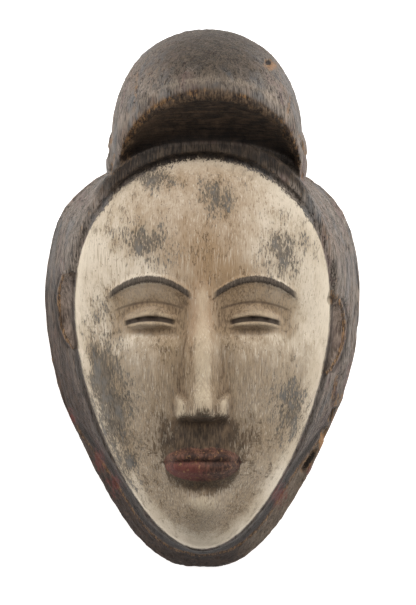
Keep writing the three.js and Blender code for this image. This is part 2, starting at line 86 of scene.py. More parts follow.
# %% Depths and the border of the face
EDGE_DEPTH = 52
EDGE_RISE_CROWN = 24
EDGE_RISE_CHIN = 4
FACE_DEPTH = 88
RIM_LIFT = 9
GROOVE_WIDTH = 1.2
GROOVE_DEPTH = 4.5
BAND_STEP = 2
BAND_WIDTH = 3.2
BAND_WIDTH_CROWN = 8
BAND_CROWN_FROM = 0.8
BAND_LIFT_CROWN = 6
BAND_END = 4
BAND_FADE = 20
BAND_FADED = 0.35
BAND_FOOT = 1.4
BAND_FOOT_DROP = 4
COLLAR_WIDTH = 9
COLLAR_MIN = 1.5
COLLAR_SLOPE = 1.5
WALL_BULGE = 1.15

# %% Back, hairdress, eyes and ears
BACK_RIM = 10
WALL = 12
HOLLOW_TOP = 104
HAIR_WIDTH = 110
HAIR_HEIGHT = 83
HAIR_LEAN = 2.6
HAIR_SIDE_DEPTH = 45
HAIR_SQUARENESS = 3.1
HAIR_BURY = 9
HAIR_BASE = OUT_Y - HAIR_HEIGHT
BRIM_WIDTH = 104
BRIM_HEIGHT = 45
BRIM_SHIFT = 1.6
BRIM_SQUARENESS = 2.3
BRIM_DEPTH = 122
BRIM_END_DEPTH = 68
BRIM_LIP = 3.5
SCOOP_WIDTH = 100
SCOOP_HEIGHT = 18.5
SCOOP_DEPTH = 80
SCOOP_END_DEPTH = 62
TRESS_WIDTH = 13
TRESS_LENGTH = 36
TRESS_DEPTH = 40
TRESS_OUT = 51.5
SLIT_HEIGHT = 2.4
SLIT_SHARE = 0.8
EAR_HEIGHT = 44
EAR_REACH = 0.42
EAR_RIM_WIDTH = 6.4
EAR_RIM_STAND = 3.8
EAR_LEVELS = {-1: -7, 1: -21}

# %% Proportions of the face
THIRD = FACE_HEIGHT / 3
EYE_WIDTH = FACE_WIDTH / 5
BROW_Y = FACE_TOP - THIRD
EYE_Y = BROW_Y - THIRD / 4
NOSE_Y = BROW_Y - THIRD
MOUTH_Y = NOSE_Y - THIRD / 3
EYE_X = EYE_WIDTH
print("brows, eyes, nose, mouth at", [round(v, 1) for v in (BROW_Y, EYE_Y, NOSE_Y, MOUTH_Y)])

# %% [markdown]
# ## Small curves
#
# A carved surface is a sum of swells and hollows. Each one is a short function of the place on the
# face, and numpy works it out for every point of a grid at once.

# %% Helpers for swells and hollows
def smooth(low, high, x):
    t = np.clip((x - low) / (high - low), 0, 1)
    return t * t * (3 - 2 * t)


def mix(a, b, t):
    return a + (b - a) * t


def bell(x, width):
    return np.exp(-((x / width) ** 2))


def bowl(x, y, width, height):
    return np.exp(-((x / width) ** 2) - (y / height) ** 2)


# %% [markdown]
# ## Outlines
#
# The rim is a smooth closed curve through points taken as shares of the half width and half
# height. The face is an egg. Both are asked for one thing: how far they are from the centre of the
# face in a given direction. A table of 1440 directions is worked out once and then interpolated.

# %% Rim outline
RIM_OUTLINE = [
    (0, -1), (0.17, -0.99), (0.3, -0.948), (0.43, -0.875), (0.55, -0.775), (0.665, -0.658),
    (0.787, -0.509), (0.897, -0.36), (0.962, -0.212), (0.995, -0.063), (0.997, 0.085),
    (0.968, 0.197), (0.921, 0.29), (0.86, 0.352), (0.76, 0.415), (0.62, 0.47), (0.4, 0.53),
    (0, 0.6),
]
knots = []
for x, y in RIM_OUTLINE:
    for side in (1, -1) if x else (1,):
        dx, dy = side * x * OUT_X, y * OUT_Y - CENTRE_Y
        knots.append((math.atan2(dy, dx), math.hypot(dx, dy)))
knots.sort()
TURN = 2 * math.pi
knots = [(a - TURN, r) for a, r in knots[-3:]] + knots + [(a + TURN, r) for a, r in knots[:3]]


def rim_at(angle):
    at = next(i for i, k in enumerate(knots) if k[0] > angle)
    (a0, r0), (a1, r1), (a2, r2), (a3, r3) = knots[at - 2 : at + 2]
    span = a2 - a1
    t = (angle - a1) / span
    rise = (r2 - r0) / (a2 - a0) * span
    fall = (r3 - r1) / (a3 - a1) * span
    start = (2 * t**3 - 3 * t**2 + 1) * r1 + (t**3 - 2 * t**2 + t) * rise
    return start + (3 * t**2 - 2 * t**3) * r2 + (t**3 - t**2) * fall


# %% [markdown]
# The white face is an egg with its blunt end up. An ellipse would need one number less but has
# the same width above and below. FACE_TAPER moves the widest place towards the forehead. The
# distance from the centre has no short formula, so it is found by halving an interval.

# %% Face outline
EGG_PEAK = (math.sqrt(1 + 8 * FACE_TAPER**2) - 1) / (4 * FACE_TAPER)


def egg(t):
    return np.sqrt(np.maximum(0, 1 - t * t)) * (1 + FACE_TAPER * t)


def face_at(angle):
    inside, outside = 0.0, float(FACE_HEIGHT)
    for _ in range(40):
        r = (inside + outside) / 2
        t = (CENTRE_Y + r * math.sin(angle) - FACE_MID) / (FACE_HEIGHT / 2)
        half = FACE_WIDTH / 2 * egg(t) / egg(EGG_PEAK)
        if abs(t) < 1 and r * abs(math.cos(angle)) < half:
            inside = r
        else:
            outside = r
    return inside


# %% Tables of both outlines
directions = np.linspace(-math.pi, math.pi, 1441)
rim_table = np.array([rim_at(a) for a in directions])
face_table = np.array([face_at(a) for a in directions])


def rim_radius(angle):
    return np.interp(angle, directions, rim_table)


def face_radius(angle):
    return np.interp(angle, directions, face_table)


print("rim radius from", rim_table.min().round(1), "to", rim_table.max().round(1))

# %% [markdown]
# ## The relief of the face
#
# The face keeps the proportions that drawing books teach: three equal thirds, five eye widths. The
# brows are raised arcs, the eyes are closed almonds with a pierced slit, the nose is straight and
# the lips are full. The fine grid lets the edges of lids and lips be crisper than in the CAD model.

# %% Broad form and depth of the edge
FOREHEAD_SWELL = 6
SIDE_FALL = 6
CHEEK_SWELL = 3
CHEEK_WIDTH = 20
CHEEK_HEIGHT = 24
JAW_FALL = 4


def edge_depth(angle):
    s = np.sin(angle)
    up = EDGE_RISE_CROWN * smooth(0.3, 1, s)
    return EDGE_DEPTH + np.where(s > 0, up, EDGE_RISE_CHIN * s * s)


def broad_form(x, y):
    forehead_y = (FACE_TOP + BROW_Y) / 2
    forehead = FOREHEAD_SWELL * bowl(x, y - forehead_y, FACE_WIDTH * 0.42, THIRD * 0.75)
    across = -SIDE_FALL * (x / (FACE_WIDTH / 2)) ** 2
    aside = np.abs(x) - FACE_WIDTH * 0.26
    cheek = CHEEK_SWELL * bowl(aside, y - (EYE_Y - THIRD * 0.45), CHEEK_WIDTH, CHEEK_HEIGHT)
    jaw = -JAW_FALL * smooth(NOSE_Y, CHIN, y)
    return FACE_DEPTH + forehead + across + cheek + jaw


# %% [markdown]
# Brows and slits are cut along shallow arcs. Each arc is one parabola in d, the distance outwards
# from the middle of an eye, so both sides come from the same lines. The same arcs later place the
# black paint and the dark slits.

# %% Lines of the brows and the slits
BROW_HALF = EYE_WIDTH * 0.86
BROW_OUT = 1
BROW_PEAK = 5
BROW_ARC = 11
SLIT_LIFT = 1
SLIT_BOW = 2.4


def brow_line(d):
    return BROW_Y + BROW_PEAK - BROW_ARC * ((d - BROW_OUT) / BROW_HALF) ** 2


def slit_line(d):
    return EYE_Y + SLIT_LIFT - SLIT_BOW * (d / (EYE_WIDTH / 2)) ** 2


# %% [markdown]
# An eye is a socket with a ball in it that reaches further above the slit than below it, and a
# small roll lies on each side of the slit. Sculpting by hand would be quicker for one eye. A
# formula gives two equal eyes and keeps its meaning when the face gets another size.

# %% Brows and eyes
BROW_RISE = 2.4
BROW_THICKNESS = 2.2
SOCKET_DEPTH = 8
SOCKET_HEIGHT = 13
SOCKET_LIFT = 3
SOCKET_IN = 1
BALL_RISE = 7
UPPER_LID = 9.5
LOWER_LID = 7.5
LID_ROLL = 1.1
LID_ROLL_LIFT = 2.6
LOWER_ROLL = 0.8
LOWER_ROLL_DROP = 2.4
SLIT_CREASE = 3


def eye_relief(x, y):
    d = np.abs(x) - EYE_X
    half = EYE_WIDTH / 2
    brow_end = 1 - smooth(0.75, 1.05, np.abs(d - BROW_OUT) / BROW_HALF)
    brow = BROW_RISE * bell(y - brow_line(d), BROW_THICKNESS) * brow_end
    socket_y = EYE_Y + SOCKET_LIFT
    socket = -SOCKET_DEPTH * bowl(d + SOCKET_IN, y - socket_y, EYE_WIDTH * 0.8, SOCKET_HEIGHT)
    tall = np.where(y > slit_line(d), UPPER_LID, LOWER_LID)
    away = np.hypot(d / (half * 1.25), (y - slit_line(d)) / tall)
    ball = BALL_RISE * (1 - smooth(0.35, 1.0, away))
    opening = 1 - smooth(0.85, 1.1, np.abs(d) / half)
    lid = LID_ROLL * bell(y - slit_line(d) - LID_ROLL_LIFT, 1.1) * opening
    lower_lid = LOWER_ROLL * bell(y - slit_line(d) + LOWER_ROLL_DROP, 1.0) * opening
    gap = -SLIT_CREASE * bell(y - slit_line(d), 1.1) * opening
    return brow + socket + ball + lid + lower_lid + gap


# %% [markdown]
# The nose is a ridge that widens and rises from the root to the tip, with two wings beside the
# tip. The larger of ridge and wing counts, which leaves the crease between them that a knife
# would cut.

# %% Nose
NOSE_RISE = 18
NOSE_ROOT = 7
NOSE_SPREAD = 9
NOSE_ROOT_LIFT = 4
TIP_RISE = 4
TIP_SIZE = 8
WING_RISE = 9
WING_OUT = 9.2
WING_WIDTH = 5.6
WING_HEIGHT = 8
WING_LIFT = 5


def nose_relief(x, y):
    root = BROW_Y + NOSE_ROOT_LIFT
    along = np.clip((root - y) / (root - NOSE_Y), 0, 1)
    under = smooth(NOSE_Y - 2.5, NOSE_Y + 3, y)
    width = mix(NOSE_ROOT, NOSE_SPREAD, along)
    ridge = NOSE_RISE * along**0.9 * np.exp(-(np.abs(x / width) ** 3))
    tip = TIP_RISE * bowl(x, y - NOSE_Y - TIP_SIZE, TIP_SIZE, TIP_SIZE)
    aside, up = (np.abs(x) - WING_OUT) / WING_WIDTH, (y - NOSE_Y - WING_LIFT) / WING_HEIGHT
    wing = WING_RISE * np.exp(-(aside**4) - up**4)
    return (np.maximum(ridge, wing) + tip) * under


# %% [markdown]
# The lips are the fullest form of the lower face. Their outline is half an ellipse above the mouth
# and a taller half below it, and the upper one dips in the middle.

# %% How far the lips reach
MOUTH_HALF = EYE_WIDTH * 0.75
UPPER_LIP = 8.5
LOWER_LIP = 10.5
LIP_BOW = 0.16
LIP_BOW_WIDTH = 3.4


def lip_reach(x, up):
    fade = np.sqrt(np.clip(1 - (x / MOUTH_HALF) ** 2, 0, 1))
    upper = UPPER_LIP * fade * (1 - LIP_BOW * bell(x, LIP_BOW_WIDTH))
    return np.where(up > 0, upper, LOWER_LIP * fade)


# %% Mouth and chin
LIP_RISE = 6
MOUTH_SWELL = 5
MOUTH_SWELL_WIDTH = 27
MOUTH_SWELL_HEIGHT = 20
PARTING_DEPTH = 3.5
UNDER_LIP_DEPTH = 2.5
UNDER_LIP_DROP = 15
UNDER_LIP_WIDTH = 16
UNDER_LIP_HEIGHT = 4
CHIN_SWELL = 5
CHIN_WIDTH = 15
CHIN_HEIGHT = 11
CHIN_DROP = 2


def mouth_relief(x, y):
    up = y - MOUTH_Y
    ends = 1 - smooth(0.7, 1.02, np.abs(x) / MOUTH_HALF)
    lip = LIP_RISE * (1 - smooth(0.45, 1.08, np.abs(up) / (lip_reach(x, up) + 0.5))) * ends
    mound = MOUTH_SWELL * bowl(x, up, MOUTH_SWELL_WIDTH, MOUTH_SWELL_HEIGHT)
    parting = -PARTING_DEPTH * bell(up, 1.0) * (1 - smooth(0.9, 1.05, np.abs(x) / MOUTH_HALF))
    under_lip = -UNDER_LIP_DEPTH * bowl(x, up + UNDER_LIP_DROP, UNDER_LIP_WIDTH, UNDER_LIP_HEIGHT)
    chin_y = (MOUTH_Y + CHIN) / 2 - CHIN_DROP
    chin = CHIN_SWELL * bowl(x, y - chin_y, CHIN_WIDTH, CHIN_HEIGHT)
    return mound + lip + parting + under_lip + chin


# %% [markdown]
# All parts of the relief are added to the broad form and fade out before the edge of the face,
# so that the border of the face stays one clean curve.

# %% Height of the face at any place
def face_depth(x, y, edge, angle):
    fall = 1 - np.clip(1 - edge**2.4, 0, 1) ** 0.6
    relief = eye_relief(x, y) + nose_relief(x, y) + mouth_relief(x, y)
    return mix(broad_form(x, y), edge_depth(angle), fall) + relief * (1 - smooth(0.8, 0.99, edge))


print("nose tip stands", round(float(face_depth(0.0, NOSE_Y + 8, 0.2, -1.57)), 1), "mm above the back")

# %% [markdown]
# ## Side wall
#
# Round the face runs a groove, then the thin raised band of hair, then the steep dark wall that
# ends in the rim. Each is a pair of numbers, distance from the centre and height, in every
# direction at once.

# %% Rings of the border and the wall
def wall_rings(angle, steps):
    crown = smooth(BAND_CROWN_FROM, 1, np.sin(angle))
    edge = face_radius(angle)
    out = rim_radius(angle)
    depth = edge_depth(angle)
    band = smooth(BAND_END - BAND_FADE, BAND_END + BAND_FADE / 2, CENTRE_Y + edge * np.sin(angle))
    collar = mix(COLLAR_MIN, COLLAR_WIDTH, smooth(0.3, 0.85, -np.sin(angle)))
    narrow = mix(BAND_FADED, 1, band)
    groove = edge + GROOVE_WIDTH * narrow
    groove_depth = depth - GROOVE_DEPTH * narrow * (1 - 0.4 * crown)
    band_in = groove + BAND_STEP * narrow
    band_depth = groove_depth + mix(-BAND_STEP, BAND_STEP, band) + BAND_LIFT_CROWN * crown
    band_out = band_in + mix(BAND_WIDTH, BAND_WIDTH_CROWN, crown) * narrow
    foot = band_out + BAND_FOOT * narrow
    foot_depth = band_depth - mix(BAND_FOOT, BAND_FOOT_DROP, band)
    ridge = np.maximum(out - collar, foot + COLLAR_MIN)
    ridge_depth = RIM_LIFT + (out - ridge) * COLLAR_SLOPE
    rings = [(groove, groove_depth), (band_in, band_depth), (band_out, band_depth - 1)]
    for t in np.linspace(0, 1, steps):
        rings.append((mix(foot, ridge, t), mix(foot_depth, ridge_depth, t**WALL_BULGE)))
    lift = np.full_like(out, RIM_LIFT)
    rings += [(out, lift), (out, lift * 0.5), (out, lift * 0)]
    return rings


# %% [markdown]
# ## Bodies
#
# Each body is a closed mesh. A loft joins rings of points, which is how a hand-drawn set of
# sections becomes a solid.

# %% Helpers that make a mesh object
def body(name, points, faces):
    mesh = bpy.data.meshes.new(name)
    mesh.from_pydata((np.asarray(points, dtype=float) / 1000).tolist(), [], faces)
    mesh.update()
    thing = bpy.data.objects.new(name, mesh)
    bpy.context.scene.collection.objects.link(thing)
    return thing


def loft(name, rings, first, last):
    steps = len(rings[0])
    points = np.vstack([[first], *rings, [last]])
    faces = []
    for i in range(steps):
        j = (i + 1) % steps
        faces.append((0, 1 + i, 1 + j))
        end = 1 + (len(rings) - 1) * steps
        faces.append((end + i, len(points) - 1, end + j))
        for r in range(len(rings) - 1):
            low, high = 1 + r * steps, 1 + (r + 1) * steps
            faces.append((low + i, high + i, high + j, low + j))
    return body(name, points, faces)


# %% [markdown]
# The head could start as a sculpted sphere, but then its border would only be near the true line.
# Here a square grid is squeezed into the egg, so its outer loop lies on the border itself. The
# rings of the side wall follow from that loop down to the back.

# %% Head: a fine grid squeezed into the egg, then the rings of the wall
COLUMNS, ROWS, CROWDING = 150, 210, 0.2


def head_body():
    u, v = np.meshgrid(np.linspace(-1, 1, COLUMNS + 1), np.linspace(-1, 1, ROWS + 1))
    u = (1 - CROWDING) * u + CROWDING * u**3
    v = (1 - CROWDING) * v + CROWDING * v**3
    dx, dy = u * np.sqrt(1 - v * v / 2), v * np.sqrt(1 - u * u / 2)
    angle = np.arctan2(dy, dx)
    edge = np.minimum(1, np.hypot(dx, dy))
    r = edge * face_radius(angle)
    x, y = r * np.cos(angle), CENTRE_Y + r * np.sin(angle)
    points = [np.stack([x, y, face_depth(x, y, edge, angle)], -1).reshape(-1, 3)]
    count = (COLUMNS + 1) * (ROWS + 1)
    grid = np.arange(count).reshape(ROWS + 1, COLUMNS + 1)
    quads = np.stack([grid[:-1, :-1], grid[:-1, 1:], grid[1:, 1:], grid[1:, :-1]], -1)
    faces = quads.reshape(-1, 4).tolist()
    loop = np.concatenate([grid[0, :-1], grid[:-1, -1], grid[-1, :0:-1], grid[:0:-1, 0]])
    around = angle.reshape(-1)[loop]
    inner = loop
    for radius, depth in wall_rings(around, 14):
        ring = np.stack([radius * np.cos(around), CENTRE_Y + radius * np.sin(around), depth], -1)
        outer = count + np.arange(len(loop))
        count += len(loop)
        points.append(ring)
        faces += np.stack([inner, outer, np.roll(outer, -1), np.roll(inner, -1)], -1).tolist()
        inner = outer
    points.append(np.array([[0, CENTRE_Y, 0]]))
    for a, b in zip(inner, np.roll(inner, -1)):
        faces.append((int(a), count, int(b)))
    return body("head", np.vstack(points), faces)


head = head_body()
print("head:", len(head.data.vertices), "points")

# %% [markdown]
# The hairdress is a dome that juts out over the forehead like a visor. Its rings start in the
# scooped hollow under the brim, run out over the brim's edge and then round the dome to the back.

# %% Arches of the hairdress
def arch(width, height, shift, squareness, depth_at):
    return lambda s: (width / 2, height, shift, squareness, depth_at(s))


def scoop_depth(s):
    return mix(SCOOP_END_DEPTH, SCOOP_DEPTH, s)


def brim_depth(s):
    return mix(BRIM_END_DEPTH, BRIM_DEPTH, s**0.9)


def lip_depth(s):
    return brim_depth(s) - BRIM_LIP


def dome_side(inset, depth):
    width, height = HAIR_WIDTH - 2 * inset, HAIR_HEIGHT - inset
    return arch(width, height, 0, HAIR_SQUARENESS, lambda s: np.full_like(s, depth))


def hair_ring(start, end, across, down, steps=300):
    angle = np.arange(steps) / steps * TURN
    c, s = np.cos(angle), np.sin(angle)
    p, q = start(np.maximum(0, s)), end(np.maximum(0, s))
    half, height, shift, power = [mix(a, b, across) for a, b in zip(p[:4], q[:4])]
    x = HAIR_LEAN + shift + half * c
    reach = np.where(s > 0, height, HAIR_BURY)
    y = HAIR_BASE + reach * np.sign(s) * np.abs(s) ** (2 / power)
    return np.stack([x, y, mix(p[4], q[4], down)], -1)


# %% Hairdress, from the scoop over the brim and round to the back
scoop = arch(SCOOP_WIDTH, SCOOP_HEIGHT, BRIM_SHIFT, 2, scoop_depth)
brim = arch(BRIM_WIDTH, BRIM_HEIGHT, BRIM_SHIFT, BRIM_SQUARENESS, brim_depth)
lip = arch(BRIM_WIDTH - BRIM_LIP, BRIM_HEIGHT - BRIM_LIP, BRIM_SHIFT, BRIM_SQUARENESS, lip_depth)
rings = [hair_ring(scoop, lip, t, t**1.6) for t in np.linspace(0, 1, 16)]
rings.append(hair_ring(brim, brim, 0, 0))
for turn in np.linspace(0, math.pi / 2, 30)[1:]:
    rings.append(
        hair_ring(brim, dome_side(0, HAIR_SIDE_DEPTH), math.sin(turn), 1 - math.cos(turn))
    )
low_side, foot_side = dome_side(1.5, HAIR_SIDE_DEPTH * 0.35), dome_side(4, 0)
rings += [hair_ring(low_side, low_side, 0, 0), hair_ring(foot_side, foot_side, 0, 0)]
hair = loft("hair", rings, (HAIR_LEAN, HAIR_BASE, SCOOP_END_DEPTH - 10), (HAIR_LEAN, HAIR_BASE, 0))
print("hairdress:", len(hair.data.vertices), "points")

# %% [markdown]
# A tuft of hair fills the corner behind each end of the brim, and an ear lies on each side wall as
# a curved ridge. An ear's ridge is a round section carried along a curve on the wall.

# %% Tufts
def tuft(side):
    rings = []
    for t in np.linspace(0.04, math.pi - 0.04, 20):
        turn = np.arange(32) / 32 * TURN
        x = TRESS_WIDTH / 2 * math.sin(t) * np.cos(turn)
        y = TRESS_LENGTH / 2 * math.sin(t) * np.sin(turn)
        z = np.full(32, TRESS_DEPTH / 2 * math.cos(t))
        rings.append(np.stack([x, y, z], -1))
    middle = (
        HAIR_LEAN + side * TRESS_OUT,
        HAIR_BASE + TRESS_LENGTH * 0.25,
        HAIR_SIDE_DEPTH * 0.75,
    )
    rings = [ring + middle for ring in rings]
    top = np.add(middle, (0, 0, TRESS_DEPTH / 2))
    low = np.add(middle, (0, 0, -TRESS_DEPTH / 2))
    return loft("tuft", rings, top, low)


# %% [markdown]
# Each ear of the real mask is a low curved ridge on the side wall. Its middle line is found on the
# wall itself, in two steps, because the wall bulges. An oval section is then carried along that
# line. A bevelled curve could do the same, but rings of points turn with the slope of the wall.

# %% A place on the side wall
def wall_point(angle, t):
    rings = wall_rings(np.array([angle]), 14)
    (foot, foot_depth), (ridge, ridge_depth) = [(r[0][0], r[1][0]) for r in (rings[3], rings[16])]
    r = mix(foot, ridge, t)
    z = mix(foot_depth, ridge_depth, t**WALL_BULGE)
    slant = math.hypot(foot_depth - ridge_depth, ridge - foot)
    out, up = (foot_depth - ridge_depth) / slant, (ridge - foot) / slant
    place = np.array([r * math.cos(angle), CENTRE_Y + r * math.sin(angle), z])
    return place, np.array([out * math.cos(angle), out * math.sin(angle), up])


# %% Ears
def ear(side, steps=48, sides=20):
    spine, normals = [], []
    for k in range(steps + 1):
        v = 1 - 2 * k / steps
        y = EAR_LEVELS[side] + v * EAR_HEIGHT / 2
        t = EAR_REACH * (1 - abs(v) ** 2.5)
        place, _ = wall_point(math.atan2(y - CENTRE_Y, side * OUT_X), t)
        place, outwards = wall_point(math.atan2(y - CENTRE_Y, place[0]), t)
        spine.append(place)
        normals.append(outwards)
    rings = []
    for k in range(steps + 1):
        ahead = spine[min(k + 1, steps)] - spine[max(k - 1, 0)]
        ahead /= np.linalg.norm(ahead)
        outwards = normals[k] - ahead * normals[k].dot(ahead)
        outwards /= np.linalg.norm(outwards)
        across = np.cross(ahead, outwards)
        fade = min(1, 0.45 + 1.6 * min(k, steps - k) / steps)
        turn = (np.arange(sides) / sides * TURN)[:, None]
        offset = np.cos(turn) * across * EAR_RIM_WIDTH / 2 + np.sin(turn) * outwards * EAR_RIM_STAND
        rings.append(spine[k] + fade * offset)
    return loft("ear", rings, spine[0], spine[-1])


added = [hair, tuft(-1), tuft(1), ear(-1), ear(1)]

# %% [markdown]
# ## What the carver takes out
#
# The hollow back and the two eye slits are closed bodies as well, and they are cut away.

# %% Hollow back
def hollow_depth(share):
    return (FACE_DEPTH - WALL) * np.clip(1 - share**2.6, 0, 1) ** 0.68


def hollow_radius(angle):
    s = np.sin(angle)
    top = (HOLLOW_TOP - CENTRE_Y) / np.maximum(0.2, s) ** 0.6
    inside = rim_radius(angle) - BACK_RIM
    return np.where(s > 0.2, np.minimum(inside, top), inside)


def hollow_ring(share, depth, steps=180):
    angle = np.arange(steps) / steps * TURN - math.pi
    r = share * hollow_radius(angle)
    z = np.full(steps, float(depth))
    return np.stack([r * np.cos(angle), CENTRE_Y + r * np.sin(angle), z], -1)


shares = np.sin(np.linspace(0.04, 1, 22)[:-1] * math.pi / 2)
rings = [hollow_ring(s, hollow_depth(s)) for s in shares] + [hollow_ring(1, 0), hollow_ring(1, -10)]
hollow = loft("hollow", rings, (0, CENTRE_Y, FACE_DEPTH - WALL), (0, CENTRE_Y, -10))

# %% [markdown]
# A slit is a thin almond that goes straight through the wood, so a column with an almond section
# cuts it. The ends keep a small width, because a section that closes to a line has no inside.

# %% Eye slits
def slit(side):
    half = EYE_WIDTH / 2 * SLIT_SHARE
    d = np.linspace(-half, half, 30)
    gap = SLIT_HEIGHT / 2 * np.sqrt(np.maximum(0.03, 1 - (d / half) ** 2))
    x = np.concatenate([d, d[::-1]])
    y = np.concatenate([slit_line(d) - gap, (slit_line(d) + gap)[::-1]])
    x = EYE_X + x if side > 0 else -EYE_X - x
    if side < 0:
        x, y = x[::-1], y[::-1]
    top = np.stack([x, y, np.full(60, 120.0)], -1)
    low = np.stack([x, y, np.full(60, 40.0)], -1)
    middle = (side * EYE_X, EYE_Y + 0.5)
    return loft("slit", [top, low], (*middle, 120), (*middle, 40))


removed = [hollow, slit(-1), slit(1)]

# %% [markdown]
# ## One skin
#
# The bodies are joined and cut with Boolean modifiers. A Remesh modifier then lays one even skin
# of small squares over the result, which rounds the joints a little, as a knife and long use do.

# %% Join, cut and remesh
VOXEL = 0.001
for operation, others in (("UNION", added), ("DIFFERENCE", removed)):
    for other in others:
        cut = head.modifiers.new(other.name, "BOOLEAN")
        cut.operation = operation
        cut.solver = "MANIFOLD"
        cut.object = other
skin = head.modifiers.new("skin", "REMESH")
skin.mode = "VOXEL"
skin.voxel_size = VOXEL
skin.use_smooth_shade = True


def applied(thing):
    graph = bpy.context.evaluated_depsgraph_get()
    mesh = bpy.data.meshes.new_from_object(thing.evaluated_get(graph))
    thing.modifiers.clear()
    old = thing.data
    thing.data = mesh
    bpy.data.meshes.remove(old)


applied(head)
for other in added + removed:
    bpy.data.meshes.remove(other.data)
mask = head
mask.name = "carved_mask"
print("one skin:", len(mask.data.vertices), "points", len(mask.data.polygons), "faces")

# %% [markdown]
# ## Where is each point?
#
# Wear and paint follow places: the edge of the face, the brim, the ears, the lips. So every point
# gets a few plain distances in millimetres, worked out by the same functions that made the shape.
# The shader later turns a distance into paint with a ragged edge.

# %% Distances to the curves of the mask
def curve_gap(points, curve):
    gap = np.full(len(points), 1e9)
    for place in curve:
        gap = np.minimum(gap, ((points - place) ** 2).sum(1))
    return np.sqrt(gap)


def ear_curve(side):
    curve = []
    for v in np.linspace(1, -1, 30):
        y = EAR_LEVELS[side] + v * EAR_HEIGHT / 2
        t = EAR_REACH * (1 - abs(v) ** 2.5)
        place, _ = wall_point(math.atan2(y - CENTRE_Y, side * OUT_X), t)
        place, outwards = wall_point(math.atan2(y - CENTRE_Y, place[0]), t)
        curve.append(place + outwards * EAR_RIM_STAND * 0.8)
    return curve


brim_curve = hair_ring(brim, brim, 0, 0)[5:146]
ear_curves = ear_curve(-1) + ear_curve(1)
print("points on the brim's and the ears' curves:", len(brim_curve), len(ear_curves))

# %% [markdown]
# The lower right of the wall is split and gouged, the upper wall is nicked and the dome has drying
# cracks. Each break is a long dent with a place, a direction, a length, a width and a depth. A
# negative depth is a splinter that still stands out.

# %% Local breaks: x, y, direction in degrees, length, width and depth
BREAKS = [
    (61.6, -93.5, 57, 6.6, 1.5, 5.0),
    (78.5, -58.5, 72, 5.0, 1.7, -1.8),
    (75.5, -66.5, 62, 5.0, 1.4, 1.8),
    (71.0, -77.5, 55, 3.5, 2.2, 2.6),
    (76.0, -53.0, 80, 9.0, 1.0, 1.4),
    (74.0, 1.0, 80, 4.0, 1.6, 1.5),
    (-55.5, 94.0, 80, 4.5, 1.8, 1.8),
    (-38.0, 118.0, 85, 12.0, 1.0, 0.9),
    (48.0, 104.0, 80, 13.0, 1.0, 0.9),
    (37.6, 135.0, 90, 2.2, 2.0, 1.8),
    (-55.8, 94.5, 80, 2.4, 2.0, -1.5),
    (-54.5, 86.0, 68, 8.0, 1.0, 1.5),
    (-52.0, 76.0, 76, 8.0, 0.9, 1.3),
    (57.5, 88.0, 112, 8.0, 1.0, 1.5),
    (56.0, 76.0, 104, 8.0, 0.9, 1.3),
]


def break_depth(points):
    depth_here = np.zeros(len(points))
    for x, y, turn, length, width, depth in BREAKS:
        c, s = math.cos(math.radians(turn)), math.sin(math.radians(turn))
        dx, dy = points[:, 0] - x, points[:, 1] - y
        along, across = dx * c + dy * s, dy * c - dx * s
        depth_here += depth * np.exp(-((along / length) ** 4) - (across / width) ** 4)
    return depth_here


# %% Place across an ear and across the wall
def ear_inside(x, y, r, foot, ridge):
    """Millimetres inside an ear's curved rim, negative outside it."""
    level = np.where(x < 0, EAR_LEVELS[-1], EAR_LEVELS[1])
    v = np.clip((y - level) / (EAR_HEIGHT / 2), -1, 1)
    reach = EAR_REACH * (1 - np.abs(v) ** 2.5)
    return np.where(np.abs(v) < 1, reach * (ridge - foot) - (r - foot), -20)


# %% [markdown]
# Now one function gathers every distance. It is called twice: on the dense skin, where it steers
# the wear, and on the lighter mesh, where it is stored for the paint.

# %% All distances at once
def places(points):
    x, y, z = points.T
    angle = np.arctan2(y - CENTRE_Y, x)
    r = np.hypot(x, y - CENTRE_Y)
    wall = wall_rings(angle, 2)
    foot, ridge = wall[3][0], wall[4][0]
    share = r / hollow_radius(angle)
    inner = (share < 1.01) & (z < hollow_depth(share) + 4)
    dx = (x - HAIR_LEAN - BRIM_SHIFT) / (BRIM_WIDTH / 2)
    brim_y = HAIR_BASE + BRIM_HEIGHT * np.sqrt(np.clip(1 - dx * dx, 0, 1))
    scoop_y = HAIR_BASE + SCOOP_HEIGHT * np.sqrt(np.clip(1 - dx * dx, 0, 1))
    up = y - MOUTH_Y
    corner = 9 * np.maximum(0, np.abs(x) / MOUTH_HALF - 0.97)
    return {
        "inner": (inner | (z < 0.6)).astype(float),
        "face_gap": np.where(inner | (z < 30), 40, r - face_radius(angle)),
        "rim_gap": rim_radius(angle) - r,
        "brim_gap": curve_gap(points, brim_curve),
        "under_brim": np.where(z > 50, np.minimum(brim_y - y, y - scoop_y + 2), -40),
        "above_head": y - scoop_y,
        "lip_share": np.abs(up) / (lip_reach(x, up) + 0.8) + corner,
        "brow_gap": y - brow_line(np.abs(x) - EYE_X),
        "brow_out": np.abs(np.abs(x) - EYE_X - 1) / BROW_HALF,
        "slit_gap": y - slit_line(np.abs(x) - EYE_X),
        "ear_in": ear_inside(x, y, r, foot, ridge),
        "ridge_gap": r - ridge,
        "broken": break_depth(points),
    }


# %% [markdown]
# ## Tool marks, grain and breaks
#
# The real surface is never smooth. Knife facets run across the hollow under the brim, weathered
# grain runs from crown to chin, the brim is frayed, and the lower right of the wall is split. All
# of it is one move of each point along its normal, from seeded noise, so each run is the same.

